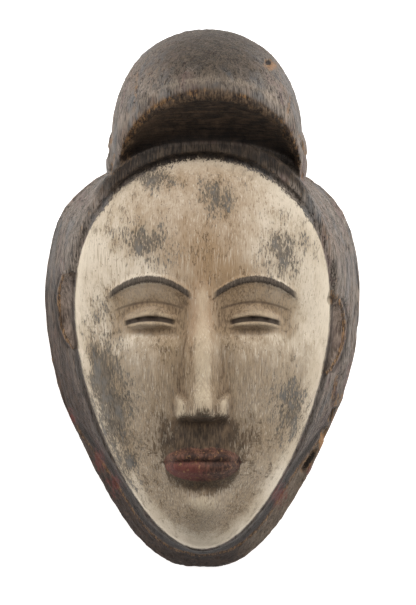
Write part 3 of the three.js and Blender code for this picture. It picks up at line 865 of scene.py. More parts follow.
# %% Seeded noise
def noise(points, stretch, seed):
    p = points / np.array(stretch, dtype=float)
    cell = np.floor(p).astype(np.int64)
    f = p - cell
    f = f * f * (3 - 2 * f)
    total = np.zeros(len(p))
    for corner in np.ndindex(2, 2, 2):
        at = cell + corner
        h = at[:, 0] * 374761393 + at[:, 1] * 668265263 + at[:, 2] * 1442695041 + seed * 974711
        h = (h ^ (h >> 13)) & 0xFFFFFFFF
        h = (h * 1274126177) & 0xFFFFFFFF
        value = ((h ^ (h >> 16)) & 0xFFFF) / 32767.5 - 1
        weight = np.ones(len(p))
        for axis in range(3):
            weight *= f[:, axis] if corner[axis] else 1 - f[:, axis]
        total += weight * value
    return total


# %% Read the skin's points
def read(mesh, field):
    values = np.empty(len(mesh.vertices) * 3, dtype=np.float32)
    mesh.vertices.foreach_get(field, values)
    return values.reshape(-1, 3).astype(float)


points = read(mask.data, "co") * 1000
normals = read(mask.data, "normal")
at = places(points)
face = 1 - smooth(-1, 2, at["face_gap"])
scooped = smooth(0, 3, at["under_brim"])
outside = 1 - at["inner"]
wood = outside * (1 - face)

# %% Move each point
shift = 0.35 * noise(points, (16, 22, 16), 1) + 0.12 * noise(points, (5, 8, 5), 2)
shift += wood * 0.3 * noise(points, (2.2, 26, 2.2), 3) + wood * 0.2 * noise(points, (1.3, 9, 1.3), 4)
shift += face * 0.06 * noise(points, (1.5, 14, 1.5), 5)
shift += scooped * 0.45 * noise(points, (16, 2.6, 2.6), 6)
frayed = np.exp(-((at["brim_gap"] / 2.6) ** 2))
shift -= frayed * (0.5 + 1.2 * np.maximum(0, noise(points, (4, 4, 4), 7)))
shift -= frayed * 0.9 * np.maximum(0, noise(points, (2.2, 7, 2.2), 8))
rim_worn = np.exp(-((at["rim_gap"] / 2.5) ** 2)) * (points[:, 2] < 16) * outside
shift -= rim_worn * (0.2 + 0.8 * np.maximum(0, noise(points, (6, 9, 6), 9)))
band_top = np.exp(-(((at["face_gap"] - 5) / 3) ** 2)) * (1 - scooped)
shift -= band_top * 0.5 * np.maximum(0, noise(points, (4, 7, 4), 10))
ear_top = np.exp(-((curve_gap(points, ear_curves) / 2.6) ** 2))
shift -= ear_top * 0.6 * np.maximum(0, noise(points, (3, 4, 3), 11))
shift += outside * -0.25 * (noise(points, (40, 30, 40), 12) > 0.62)


# %% [markdown]
# The breaks are added to the same move. The ears are hollowed inside their rims, and below the
# jaw the wall gets a ledge with a raised ridge beside it. These forms are shallow, so moving the
# points is enough and no further cut is needed. Close to the back rim the move fades out, because
# the mask has to lie flat.

# %% Breaks, the ears' hollows and the flange below the jaw
shift -= outside * at["broken"]
beside = wood * (points[:, 2] > 14) * (points[:, 1] < 30)
inside_ear = smooth(1.0, 3.5, at["ear_in"]) * (1 - smooth(-1, 1.5, -at["face_gap"]))
shift -= beside * 1.5 * inside_ear
shift -= beside * 1.1 * bell(at["ear_in"] + 3.6, 1.5)
below_jaw = wood * (1 - smooth(-85, -65, points[:, 1]))
shift -= below_jaw * 1.2 * bell(at["ridge_gap"] + 2.2, 1.5)
shift += below_jaw * 0.5 * bell(at["ridge_gap"] - 0.8, 1.4)
shift *= 1 - np.exp(-((points[:, 2] / 1.5) ** 2))
points += normals * shift[:, None]
points[:, 2] = np.maximum(points[:, 2], 0)
mask.data.vertices.foreach_set("co", (points / 1000).astype(np.float32).ravel())
mask.data.update()
print("points moved by", shift.min().round(2), "to", shift.max().round(2), "mm")

# %% [markdown]
# A Decimate modifier merges points where the surface is plain. A vertex group holds it back on the
# face and lets it work hardest in the hollow, which is seldom seen.

# %% Fewer triangles where they are not seen
TARGET = 192000
group = mask.vertex_groups.new(name="plain")
weight = np.clip(0.25 + at["inner"] - 0.2 * face, 0.05, 1)
for level in (0.05, 0.25, 1.0):
    chosen = np.nonzero(np.abs(weight - level) < 0.11)[0]
    group.add(chosen.tolist(), level, "REPLACE")
fewer = mask.modifiers.new("fewer", "DECIMATE")
fewer.ratio = TARGET / (2 * len(mask.data.polygons))
fewer.vertex_group = group.name
fewer.vertex_group_factor = 1.0
fewer.use_collapse_triangulate = True
applied(mask)
mask.vertex_groups.clear()
print("after decimation:", len(mask.data.polygons), "triangles")

# %% [markdown]
# ## Fields for the shader
#
# The distances are stored on the mesh as named attributes. Two more fields come from the shape
# itself: how sharply the surface bulges or folds at each point. Bulges lose their paint first, and
# folds collect dirt. The shader also uses them to paint shade into folds and light onto high places.

# %% Bulges and folds
def curvature(mesh, rounds):
    points = read(mesh, "co") * 1000
    edges = np.empty(len(mesh.edges) * 2, dtype=np.int32)
    mesh.edges.foreach_get("vertices", edges)
    a, b = edges.reshape(-1, 2).T
    count = np.bincount(a, minlength=len(points)) + np.bincount(b, minlength=len(points))

    def around(values):
        total = np.bincount(a, values[b], len(points)) + np.bincount(b, values[a], len(points))
        return total / np.maximum(count, 1)

    soft = points.copy()
    for _ in range(rounds):
        soft = np.stack([around(soft[:, i]) for i in range(3)], -1)
    bulge = ((points - soft) * read(mesh, "normal")).sum(1)
    for _ in range(2):
        bulge = around(bulge)
    return bulge


# %% Fields stored on the mesh
def store(name, values):
    field = mask.data.attributes.new(name, "FLOAT", "POINT")
    field.data.foreach_set("value", np.asarray(values, dtype=np.float32))


points = read(mask.data, "co") * 1000
for name, values in places(points).items():
    store(name, values)
bulge = curvature(mask.data, 5)
broad = curvature(mask.data, 24)
store("bulge", bulge)
store("broad_bulge", broad)
print("bulge from", bulge.min().round(2), "to", bulge.max().round(2), "mm")
print("broad bulge, 5th and 95th in a hundred:", np.percentile(broad, [5, 95]).round(2), "mm")

# %% [markdown]
# ## A small language for shaders
#
# A shader is a sum of many small steps. Written node by node it is hard to read, so one short
# class wraps a socket and lets ordinary signs build the Math nodes.

# %% The class
class Value:
    """One value in the shader: a socket that understands + - * and a few more words."""

    def __init__(self, socket):
        self.socket = socket

    @staticmethod
    def make(kind, settings, inputs, output=0):
        node = tree.nodes.new(kind)
        for key, setting in settings.items():
            setattr(node, key, setting)
        for key, given in inputs.items():
            socket = node.inputs[key]
            if isinstance(given, Value):
                tree.links.new(given.socket, socket)
            else:
                socket.default_value = given
        return Value(node.outputs[output])

    def math(self, operation, a, b=0.0):
        return Value.make("ShaderNodeMath", {"operation": operation}, {0: a, 1: b})

    def __add__(self, other):
        return self.math("ADD", self, other)

    def __radd__(self, other):
        return self.math("ADD", other, self)

    def __sub__(self, other):
        return self.math("SUBTRACT", self, other)

    def __rsub__(self, other):
        return self.math("SUBTRACT", other, self)

    def __mul__(self, other):
        return self.math("MULTIPLY", self, other)

    def __rmul__(self, other):
        return self.math("MULTIPLY", other, self)

    def absolute(self):
        return self.math("ABSOLUTE", self)

    def least(self, other):
        return self.math("MINIMUM", self, other)

    def most(self, other):
        return self.math("MAXIMUM", self, other)

    def step(self, low, high):
        """0 below low, 1 above high, and a smooth rise between them. Low may be the larger."""
        settings = {"interpolation_type": "SMOOTHSTEP"}
        return Value.make("ShaderNodeMapRange", settings, {0: self, 1: low, 2: high})


# %% [markdown]
# Colours are given as a screen shows them, because that is how they are read off. The shader works
# with light instead, so each one is converted. A Mix node then lays one colour over another by an
# amount.

# %% Colours and stored fields
def colour(red, green, blue):
    """A colour as a screen shows it, 0 to 255, turned into the shader's own light values."""
    parts = []
    for part in (red, green, blue):
        share = part / 255
        parts.append(share / 12.92 if share <= 0.04045 else ((share + 0.055) / 1.055) ** 2.4)
    return (*parts, 1)


def blend(under, over, amount):
    settings = {"data_type": "RGBA", "clamp_factor": True}
    return Value.make("ShaderNodeMix", settings, {0: amount, 6: under, 7: over}, 2)


def field(name):
    settings = {"attribute_type": "GEOMETRY", "attribute_name": name}
    return Value.make("ShaderNodeAttribute", settings, {}, "Fac")


# %% [markdown]
# Nearly every stain on the mask is either noise that is drawn out along the grain or an oval place
# with a torn edge. A painted picture could show both, but it would need an unwrapped mesh and
# would blur near by. Noise in space needs neither.

# %% Noise and ovals
def speckle(stretch, detail=4.0, rough=0.6, offset=0.0):
    """Noise from about 0 to 1. stretch is the size of its blotches in millimetres."""
    scale = tuple(1000 / size for size in stretch)
    moved = Value.make(
        "ShaderNodeVectorMath",
        {"operation": "MULTIPLY_ADD"},
        {0: place, 1: scale, 2: (offset, offset * 1.7, offset * 0.6)},
    )
    inputs = {"Vector": moved, "Scale": 1.0, "Detail": detail, "Roughness": rough}
    return Value.make("ShaderNodeTexNoise", {}, inputs)


def patch(x, y, width, tall):
    """1 in the middle of an upright oval, 0 at its line and below 0 outside. Millimetres."""
    dx = (east - x) * (1 / width)
    dy = (north - y) * (1 / tall)
    return 1.0 - Value.make("ShaderNodeMath", {"operation": "SQRT"}, {0: dx * dx + dy * dy})


def patches(places, grow):
    """The highest of several ovals, each made larger by one share."""
    found = None
    for x, y, width, tall in places:
        one = patch(x, y, width * grow, tall * grow)
        found = one if found is None else found.most(one)
    return found


# %% [markdown]
# One block of wood gets one material. The place of a point in millimetres is split into east,
# north and height, and the distances stored on the mesh get plain names.

# %% Start the material
material = bpy.data.materials.new("clay_and_stained_wood")
material.use_nodes = True
tree = material.node_tree
tree.nodes.clear()
place = Value.make("ShaderNodeTexCoord", {}, {}, "Object")
split = Value.make("ShaderNodeSeparateXYZ", {}, {0: place})
east = Value(split.socket.node.outputs[0]) * 1000.0
north = Value(split.socket.node.outputs[1]) * 1000.0
height = Value(split.socket.node.outputs[2]) * 1000.0
face_gap = field("face_gap")
brim_gap = field("brim_gap")
above_head = field("above_head")
ear_in = field("ear_in")
ridge_gap = field("ridge_gap")
slit_gap = field("slit_gap")
brow_out = field("brow_out")
in_hollow = field("inner")

# %% [markdown]
# ## Dark stained wood
#
# The hairdress and the side walls were blackened, and the black has worn to a grey brown that is
# streaked along the grain, which runs from crown to chin. The hollow under the brim is nearly black,
# partly stain and partly painted shade, and is streaked across by the knife. The hidden back is
# plain brown wood.

# %% Grain, at several sizes
fibres = speckle((0.75, 12, 0.75), 4.0, 0.65)
streaks = speckle((2.6, 42, 2.6), 5.0, 0.65, 3.0)
clouds = speckle((26, 38, 26), 3.0, 0.55, 7.0)
blots = speckle((6, 10, 6), 6.0, 0.7, 9.0)
pores = speckle((0.9, 4.0, 0.9), 2.0, 0.6, 11.0)
lines = speckle((3.4, 36, 3.4), 3.0, 0.6, 27.0)
cracks = (1.0 - (lines - 0.5).absolute() * 22.0).step(0.1, 0.8) * streaks.step(0.44, 0.56)

# %% [markdown]
# A stain of one colour would look like paint. On the mask it is grey brown with rusty and bluish
# places, sooty on the crown and nearly black on the lower wall, and old cracks run along it. The
# black of the lower wall is partly stain and partly painted shade, darkest towards the lower left.
# So a tone from three noises picks a colour, and further blends change it where time has.

# %% Wood colours
CROWN_SOOT = (6, 142, 54, 32)
tone = fibres.step(0.4, 0.6) * 0.4 + streaks.step(0.36, 0.64) * 0.3 + blots.step(0.36, 0.64) * 0.3
stained = blend(colour(42, 36, 31), colour(153, 140, 128), tone)
rusty = (streaks * 0.6 + clouds * 0.5).step(0.54, 0.7)
stained = blend(stained, colour(108, 80, 60), rusty * 0.45)
tint = speckle((20, 30, 20), 4.0, 0.6, 33.0)
stained = blend(stained, colour(92, 97, 101), tint.step(0.52, 0.62) * 0.4)
stained = blend(stained, colour(112, 84, 84), tint.step(0.45, 0.36) * 0.3)
# Stain and painted shade: the lower wall darkens towards the lower left.
low_wall_stain_and_shade = (north + east * 0.5).step(40.0, -110.0) * height.step(60.0, 30.0)
stained = blend(stained, blend(colour(26, 17, 12), colour(72, 51, 38), tone), low_wall_stain_and_shade * 0.92)
crown_soot = (patch(*CROWN_SOOT) + (blots - 0.5) * 1.6 + (fibres - 0.5) * 0.8).step(0.0, 0.8)
stained = blend(stained, blend(colour(20, 15, 12), colour(88, 76, 63), tone), crown_soot * 0.9)
dusty = height.step(96.0, 60.0) * clouds.step(0.42, 0.62) * (1.0 - low_wall_stain_and_shade)
stained = blend(stained, colour(150, 141, 134), dusty * 0.25 * fibres.step(0.4, 0.6))
stained = blend(stained, colour(30, 25, 22), cracks * 0.8)
stained = blend(stained, colour(34, 28, 25), pores.step(0.6, 0.68) * 0.6)

# %% [markdown]
# The hollow under the brim is nearly black: the wood there was never rubbed, and painted shade of the
# overhanging brim darkens it further, most deep under the brim. The knife went through it from side
# to side and left thin ridges. They could be cut into the mesh one by one. Noise that is drawn out
# sideways gives the same streaks, and it feeds the bump as well.

# %% Hollow under the brim
across = speckle((24, 1.5, 1.5), 5.0, 0.65, 5.0)
# Stain and painted shade: the scoop under the brim is near black, darkest deep under the brim.
scoop_stain_and_shade = blend(colour(28, 21, 16), colour(88, 70, 55), (across * 0.5 + blots * 0.5).step(0.4, 0.68))
scoop_stain_and_shade = blend(scoop_stain_and_shade, colour(22, 17, 14), above_head.step(15.0, 1.0) * 0.65)
west_side = (east * -1.0 + (blots - 0.5) * 30.0).step(0.0, 40.0) * above_head.step(2.0, 12.0)
scoop_stain_and_shade = blend(scoop_stain_and_shade, colour(112, 90, 70), west_side * 0.3)
under_brim = (field("under_brim") + across * 3.0).step(1.0, 4.0)
stained = blend(stained, scoop_stain_and_shade, under_brim)

# %% [markdown]
# ## Worn edges
#
# Handling rubbed the brim, the ears and the rim down to bare wood, which shows as ochre fibres. On
# the ears' rims and the ridge below the jaw the ochre is also a painted highlight on a raised edge.

# %% Where the edges are worn, and the painted highlights on raised rims
frays = speckle((2.0, 5.0, 2.0), 5.0, 0.7, 13.0)
hairs = speckle((1.1, 5.0, 3.0), 3.0, 0.65, 15.0)
lower_side = (field("under_brim") + 3.0).step(-1.0, 2.0)
brim_worn = (1.6 - brim_gap + (hairs - 0.5) * 11.0 + (clouds - 0.5) * 26.0).step(0.0, 2.2)
brim_worn = brim_worn * (0.25 + 0.75 * lower_side)
lip_zone = (8.0 - brim_gap + (hairs - 0.5) * 9.0 + (blots - 0.5) * 7.0).step(0.0, 3.0) * lower_side
beside = north.step(40.0, 30.0) * (face_gap - 0.5).step(0.0, 1.0)
# Worn wood and painted highlight: an ochre line along each ear's rim.
ear_rim_worn_and_highlit = (1.3 - (ear_in + 0.9).absolute() + (hairs - 0.5) * 2.2).step(0.0, 0.5) * beside
flange = north.step(-62.0, -80.0) * height.step(8.0, 12.0) * height.step(46.0, 40.0)
# Worn wood and painted highlight: an ochre line along the flange's ridge.
ridge_worn_and_highlit = (0.9 - (ridge_gap - 0.7).absolute() + (hairs - 0.5) * 2.0).step(0.0, 0.6) * flange
rim_worn = (0.2 - field("rim_gap").absolute() + (frays - 0.5) * 8.0 + (blots - 0.5) * 6.0).step(0.0, 2.0)
rim_worn = rim_worn * height.step(18.0, 12.0)
bulges = (field("bulge") * 1.8 + (frays - 0.5) * 2.6).step(0.7, 1.1)

# %% [markdown]
# Bare wood is ochre, and its fibres stay dark in the gaps. Two noises choose between a dark and a
# light ochre, and each edge shows as much of it as it is worn, or on the ears' rims and the flange's
# ridge as much as its painted highlight.

# %% Colours of the worn and highlit edges
ochre = blend(colour(52, 37, 25), colour(162, 122, 80), (hairs * 0.6 + fibres * 0.5).step(0.48, 0.7))
worn_and_highlit = (brim_worn * 0.8).most(ear_rim_worn_and_highlit * 0.75).most(rim_worn * 0.75).most(bulges * 0.5)
worn_and_highlit = worn_and_highlit.most(ridge_worn_and_highlit * 0.55)

# %% [markdown]
# The brim's thick lip has worn to brown, not grey. Each ear is a flat brown field inside a thin ochre
# rim, with a dark line of painted shadow below that rim and in the groove beside it. The groove at the
# foot of the lower face is painted darker too. Separate meshes could carry these colours, but the
# object is one block, so the distances place them.

# %% Brim's lip, ears and seams
ear_brown = blend(colour(70, 57, 48), colour(146, 128, 114), (fibres * 0.4 + blots * 0.6).step(0.38, 0.62))
in_ear = (ear_in + (blots - 0.5) * 2.0).step(-0.4, 0.8) * beside
lip_brown = blend(colour(40, 30, 23), colour(118, 95, 72), (hairs * 0.6 + blots * 0.4).step(0.42, 0.64))
dark_side = blend(stained, lip_brown, lip_zone * 0.8)
dark_side = blend(dark_side, ear_brown, in_ear * 0.75)
# Painted shadow: a dark line below each ear's rim and in the groove inside the ear.
ear_shadow_line = (1.5 - (ear_in + 3.4).absolute() + (blots - 0.5) * 2.0).step(0.0, 1.0)
ear_shadow_line = ear_shadow_line.most((1.3 - (face_gap - 1.6).absolute()).step(0.0, 0.8) * in_ear)
dark_side = blend(dark_side, colour(40, 33, 29), ear_shadow_line * beside * 0.6)
# The groove at the foot of the lower face is painted darker.
foot = (2.2 - (face_gap - 2.4).absolute() + (blots - 0.5) * 3.0).step(0.0, 1.4)
foot = foot * north.step(0.0, -40.0) * (1.0 - in_hollow)
dark_side = blend(dark_side, colour(34, 26, 20), foot * 0.6)

# %% [markdown]
# Below the jaw the wall folds out into a flange, and a dark line of painted shadow runs along the
# ledge inside its ridge. Its wood is split, gouged and splintered at the lower right, where a strip of
# fresh wood shows. The dents are in the mesh already. Their stored depth paints them, so that colour
# and shape stay together.

# %% Flange, splits and the gouge
FRESH_STRIP = (69.5, -84.0, 3.0, 9.0)
# Painted shadow on the ledge inside the flange's ridge.
ledge_shadow = (1.7 - (ridge_gap + 1.9).absolute() + (blots - 0.5) * 1.5).step(0.0, 1.0)
dark_side = blend(dark_side, colour(30, 24, 20), ledge_shadow * flange * 0.75)
outer_flange = ridge_gap.step(0.0, 1.0) * north.step(-62.0, -80.0)
pale_flange = blend(colour(62, 50, 40), colour(140, 124, 106), tone)
dark_side = blend(dark_side, pale_flange, outer_flange * (east - 15.0).step(0.0, 20.0) * 0.7)
dark_side = blend(dark_side, ochre, worn_and_highlit * (1.0 - in_hollow))
gouged = field("broken").step(1.6, 3.4)
dark_side = blend(dark_side, colour(28, 21, 16), gouged * 0.9)
split_edge = field("broken").absolute().step(0.25, 0.8) * (1.0 - gouged)
dark_side = blend(dark_side, colour(142, 108, 74), split_edge * hairs.step(0.44, 0.58) * 0.6)
strip = patch(*FRESH_STRIP) + (hairs - 0.5) * 1.6
dark_side = blend(dark_side, colour(160, 118, 74), strip.step(0.1, 0.6) * 0.7)

# %% [markdown]
# The thin band of hair over the forehead is the darkest wood, partly dark stain and partly the
# brim's shadow painted on it. A paler stripe along the brim is a painted highlight on the dome's
# edge. Both run along an edge of the carving, so both start from the distance to it.

# %% Band of hair with the brim's painted shadow, and the painted highlight along the brim
# Stain and painted shadow of the brim on the band of hair.
band_stain_and_shadow = (above_head.absolute() * -1.0 + 15.0 + (blots - 0.5) * 10.0).step(0.0, 5.0)
band_stain_and_shadow = band_stain_and_shadow * (1.0 - under_brim) * face_gap.step(17.0, 12.0)
band_stain_and_shadow = band_stain_and_shadow * north.step(52.0, 70.0) * height.step(60.0, 68.0)
band_stain_and_shadow_colour = blend(colour(26, 20, 16), colour(84, 69, 54), (fibres * 0.5 + blots * 0.5).step(0.42, 0.7))
dark_side = blend(dark_side, band_stain_and_shadow_colour, band_stain_and_shadow * 0.9)
# Painted highlight: a paler stripe along the dome's edge above the brim.
brim_highlight = (4.5 - (brim_gap - 8.0).absolute() + (blots - 0.5) * 11.0).step(0.0, 6.0)
brim_highlight = brim_highlight * above_head.step(8.0, 16.0) * height.step(84.0, 100.0)
pale = blend(colour(112, 98, 84), colour(160, 146, 130), fibres.step(0.4, 0.6))
dark_side = blend(dark_side, pale, brim_highlight * 0.45 * (1.0 - under_brim) * (1.0 - worn_and_highlit))

# %% [markdown]
# One knot sits high on the right of the dome, an ochre ring round a dark hole. The oval is flat
# and would run through the whole block, so it only counts near the top. The hollow back was never
# stained and stays plain brown.

# %% Knot and the bare back
KNOT = (38.8, 133.4, 4.6, 4.0)
KNOT_HOLE = (37.6, 135.0, 2.2, 1.9)
knot = patch(*KNOT) + (frays - 0.5) * 2.4
knot_high = height.step(58.0, 70.0)
dark_side = blend(dark_side, colour(142, 104, 68), knot.step(0.1, 0.6) * 0.7 * knot_high)
knot_hole = patch(*KNOT_HOLE) + (frays - 0.5) * 0.8
dark_side = blend(dark_side, colour(34, 24, 18), knot_hole.step(0.0, 0.4) * knot_high)
raw = blend(colour(112, 82, 56), colour(160, 124, 88), (fibres * 0.6 + clouds * 0.6).step(0.45, 0.75))
dark_side = blend(dark_side, raw, in_hollow)

# %% [markdown]
# ## White clay on the face
#
# Kaolin, a white clay, was rubbed on in thin coats. It is brightest on the cheeks and along the edge,
# thin and brown over the brows and the middle of the forehead, and gone in grey patches. The middle
# of the face is darker than its sides, partly thin clay and partly painted shade.

# %% Clay, thick and thin
THIN_AND_SHADED_MIDDLE = (0, -30, 62, 104)
BROWN_FOREHEAD = (0, 46, 58, 66)
NOSE_RIDGE = (-2, -14, 12, 36)
rubs = speckle((0.9, 5.5, 0.9), 4.0, 0.65, 17.0)
scratches = speckle((0.6, 11.0, 0.6), 3.0, 0.6, 19.0)
specks = speckle((1.6, 2.2, 1.6), 3.0, 0.75, 23.0)
thin = (blots * 0.25 + clouds * 0.75 + rubs * 0.2).step(0.46, 0.8)
clay = blend(colour(212, 199, 180), colour(172, 153, 127), thin)
# Thin clay and painted shade: the middle of the face is darker than its sides.
middle_thin_and_shaded = (patch(*THIN_AND_SHADED_MIDDLE) + (clouds - 0.5) * 1.0 + (rubs - 0.5) * 0.7).step(-0.1, 0.8)
clay = blend(clay, colour(142, 119, 91), middle_thin_and_shaded * 0.66)
warm = (patch(*BROWN_FOREHEAD) + (clouds - 0.5) * 0.9 + (blots - 0.5) * 0.4).step(-0.1, 0.8)
clay = blend(clay, colour(138, 109, 78), warm * 0.55)
on_nose = (patch(*NOSE_RIDGE) + (rubs - 0.5) * 1.2 + (blots - 0.5)).step(0.0, 0.8)
clay = blend(clay, colour(150, 112, 80), on_nose * 0.4)
hair_veil = (face_gap + 13.0 + (blots - 0.5) * 16.0 + (rubs - 0.5) * 8.0).step(0.0, 12.0)
hair_veil = hair_veil * (north + east.absolute() * -0.3).step(46.0, 66.0)
clay = blend(clay, colour(138, 112, 80), hair_veil * 0.5)

# %% [markdown]
# The clay is painted darker towards the chin. Over it go thin brown scratches, short splits along
# the grain, a few scores beside the mouth, pale rubs and dark specks. Each has a noise of its own,
# because one noise for all of them would put them all in the same places.

# %% Darker towards the chin, scratches and splits
RIGHT_OF_MOUTH = (32, MOUTH_Y + 3, 20, 26)
LEFT_OF_MOUTH = (-32, MOUTH_Y + 1, 13, 18)
# The clay is painted darker towards the chin.
darker_towards_chin = (north.step(0.0, -60.0) + (blots - 0.5) * 1.4 + (rubs - 0.5) * 0.9).step(0.1, 0.8)
darker_towards_chin = darker_towards_chin * (face_gap * -1.0 + (blots - 0.5) * 12.0).step(2.0, 12.0)
clay = blend(clay, blend(colour(84, 68, 52), colour(140, 122, 99), rubs.step(0.36, 0.6)), darker_towards_chin * 0.7)
clay = blend(clay, colour(112, 90, 68), scratches.step(0.58, 0.64) * 0.5)
splits = speckle((2.2, 11, 2.2), 5.0, 0.65, 35.0)
splits = (1.0 - (splits - 0.5).absolute() * 34.0).step(0.1, 0.8) * blots.step(0.51, 0.57)
splits = splits * clouds.step(0.46, 0.54)
clay = blend(clay, colour(84, 65, 49), splits * 0.75)
scores = speckle((13, 3.2, 13), 5.0, 0.65, 39.0)
scores = (1.0 - (scores - 0.5).absolute() * 30.0).step(0.1, 0.8) * blots.step(0.48, 0.56)
corners = patches([RIGHT_OF_MOUTH, LEFT_OF_MOUTH], 1.0).step(0.0, 0.5)
clay = blend(clay, colour(70, 54, 41), scores * corners * 0.7)
clay = blend(clay, colour(232, 221, 204), scratches.step(0.42, 0.34) * 0.3)
clay = blend(clay, colour(84, 68, 54), specks.step(0.63, 0.68) * 0.6)
flakes = speckle((2.4, 5.5, 2.4), 5.0, 0.7, 29.0).step(0.63, 0.65)
clay = blend(clay, colour(134, 112, 86), flakes * 0.6)

# %% [markdown]
# Hands reach what stands out and miss what lies deep. The two stored bulges tell them apart: folds
# and wide hollows turn brown, partly dirt and partly painted shade, and high places turn pale, partly
# rubbed and partly painted highlight. The right side and the edge of the face get painted light.

# %% Painted shade in folds and hollows, painted light on high places and edges
# Dirt and painted shade in fine folds.
crease_dirt_and_shade = (0.0 - field("bulge") * 2.0 + (rubs - 0.5) * 0.8).step(0.25, 0.8)
clay = blend(clay, colour(90, 70, 53), crease_dirt_and_shade * 0.75)
# Dirt and painted shade in wide hollows.
hollow_dirt_and_shade = (0.0 - field("broad_bulge") + (rubs - 0.5) * 0.5).step(0.05, 0.75)
clay = blend(clay, blend(colour(70, 54, 40), colour(126, 106, 84), rubs.step(0.4, 0.58)), hollow_dirt_and_shade * 0.7)
# Rubbing and painted highlight on high places.
rubbed_and_highlit = (field("broad_bulge") + (rubs - 0.5) * 0.7).step(0.25, 0.9)
clay = blend(clay, colour(214, 198, 172), rubbed_and_highlit * 0.4)
# Painted light: the right side of the face is lighter.
clay = blend(clay, colour(172, 158, 137), (east + (clouds - 0.5) * 30.0).step(24.0, 64.0) * 0.3)
# Painted light along the edge of the face.
edge_light = (face_gap + 10.0 + (rubs - 0.5) * 6.0).step(0.0, 8.0)
clay = blend(clay, colour(206, 194, 175), edge_light * 0.4)

# %% [markdown]
# In eight places and all down the left cheek the clay is worn off in short strokes, down to grey
# and bluish soot. A hard oval would look stamped. So an oval only says where loss is likely,
# and fine strokes decide where it happens, with a brown veil round them.

# %% Patches where the clay has gone
PATCHES = [
    (-57, -40, 11, 30), (-50, -70, 11, 27), (51, -64, 10, 20), (9, 58, 12, 11),
    (-33, 32, 15, 12), (46, 28, 12, 19), (-27, 69, 14, 7), (-44, -92, 9, 20),
]
LEFT_CHEEK = (-54, -54, 17, 30)
lost = patches(PATCHES, 1.25)
strokes = speckle((0.9, 3.2, 0.9), 4.0, 0.65, 31.0)
middling = speckle((8, 15, 8), 5.0, 0.7, 37.0)
ragged = (strokes - 0.5) * 3.4 + (middling - 0.5) * 2.6
lost = lost + patch(*LEFT_CHEEK).most(0.0) * 0.6
gone = (lost * 0.8 + ragged - 0.2).step(0.0, 0.5)
soot = blend(colour(58, 54, 50), colour(114, 104, 92), (rubs * 0.6 + fibres * 0.5).step(0.42, 0.7))
soot = blend(soot, colour(104, 108, 110), middling.step(0.5, 0.62) * 0.4)
veil = (lost + (middling - 0.5) * 2.4 + (rubs - 0.5) * 0.6).step(-0.15, 0.75)
clay = blend(clay, colour(134, 115, 90), veil * 0.42)
clay = blend(clay, soot, gone * 0.85)

# %% [markdown]
# Under the nose and round the mouth the clay is dark with wear, and under the nose this is also
# painted shadow. Under the brows the clay is brown, partly thinned and partly painted shade. These
# stains follow the carved features, so they start from the same sizes.

# %% Stains round the mouth, and stain with painted shade under the nose and the brows
UNDER_NOSE = (0, (NOSE_Y + MOUTH_Y) / 2 - 1, 30, 21)
# Stain and painted shadow under the nose.
nose_stain_and_shadow = patch(*UNDER_NOSE) + (rubs - 0.5) * 1.8 + (middling - 0.5) * 1.4
nose_stain_and_shadow = nose_stain_and_shadow.step(-0.05, 0.3)
round_mouth = (1.9 - field("lip_share") + (rubs - 0.5) * 3.4 + (middling - 0.5) * 2.4).step(0.0, 0.6)
umber = blend(colour(42, 33, 27), colour(100, 82, 64), (rubs * 0.5 + blots * 0.5).step(0.4, 0.66))
clay = blend(clay, umber, nose_stain_and_shadow.most(round_mouth * 0.9) * 0.92)
# Thinned clay and painted shade under the brows.
brow_thin_and_shade = field("brow_gap").step(-0.5, -4.0) * slit_gap.step(-9.0, -3.0)
brow_thin_and_shade = brow_thin_and_shade * brow_out.step(1.05, 0.7) * north.step(-40.0, -30.0)
clay = blend(clay, blend(colour(96, 77, 59), colour(152, 130, 103), rubs.step(0.36, 0.6)), brow_thin_and_shade * 0.6)

# %% [markdown]
# ## Brows, eyes and lips
#
# The brows are black, the lips a dark red that is nearly brown, and painted shade darkens the clay in
# and round the slits.

# %% Painted features
RED_PLACE = (-11, MOUTH_Y - 6, 17, 9)
eye_zone = north.step(-40.0, -30.0)
brow = (2.6 - field("brow_gap").absolute() + (rubs - 0.5) * 2.4).step(0.0, 1.2)
brow = brow * brow_out.step(1.0, 0.85) * eye_zone
clay = blend(clay, blend(colour(44, 38, 35), colour(92, 80, 70), fibres.step(0.4, 0.7)), brow * 0.92)
lid_line = (1.0 - (slit_gap - 9.6).absolute() + (rubs - 0.5) * 1.4).step(0.0, 0.8)
lid_line = lid_line * brow_out.step(0.86, 0.7) * eye_zone
clay = blend(clay, colour(80, 66, 56), lid_line * 0.6)
# Painted shade in and round the eye slits.
slit_shade = (1.9 - slit_gap.absolute() + (rubs - 0.5)).step(0.0, 0.9)
slit_shade = slit_shade * brow_out.step(0.62, 0.5) * eye_zone
clay = blend(clay, colour(42, 34, 30), slit_shade * 0.9)
lips = (1.02 - field("lip_share") + (rubs - 0.5) * 0.3).step(0.0, 0.12)
red = blend(colour(50, 35, 29), colour(104, 72, 58), (blots * 0.6 + rubs * 0.5).step(0.45, 0.68))
redder = (patch(*RED_PLACE) + (rubs - 0.5) * 1.2 + (blots - 0.5)).step(0.0, 0.7)
red = blend(red, colour(106, 52, 48), redder * 0.6)
chipped = (frays * 0.6 + specks * 0.5).step(0.6, 0.66)
red = blend(red, colour(150, 112, 76), chipped * 0.55)
clay = blend(clay, red, lips)

# %% [markdown]
# Clay and wood meet in a torn line that is most ragged along the hair. A plain mask would look cut
# out with scissors, so noise moves the line to and fro. Old red paint has left a few traces on the
# lower wall.

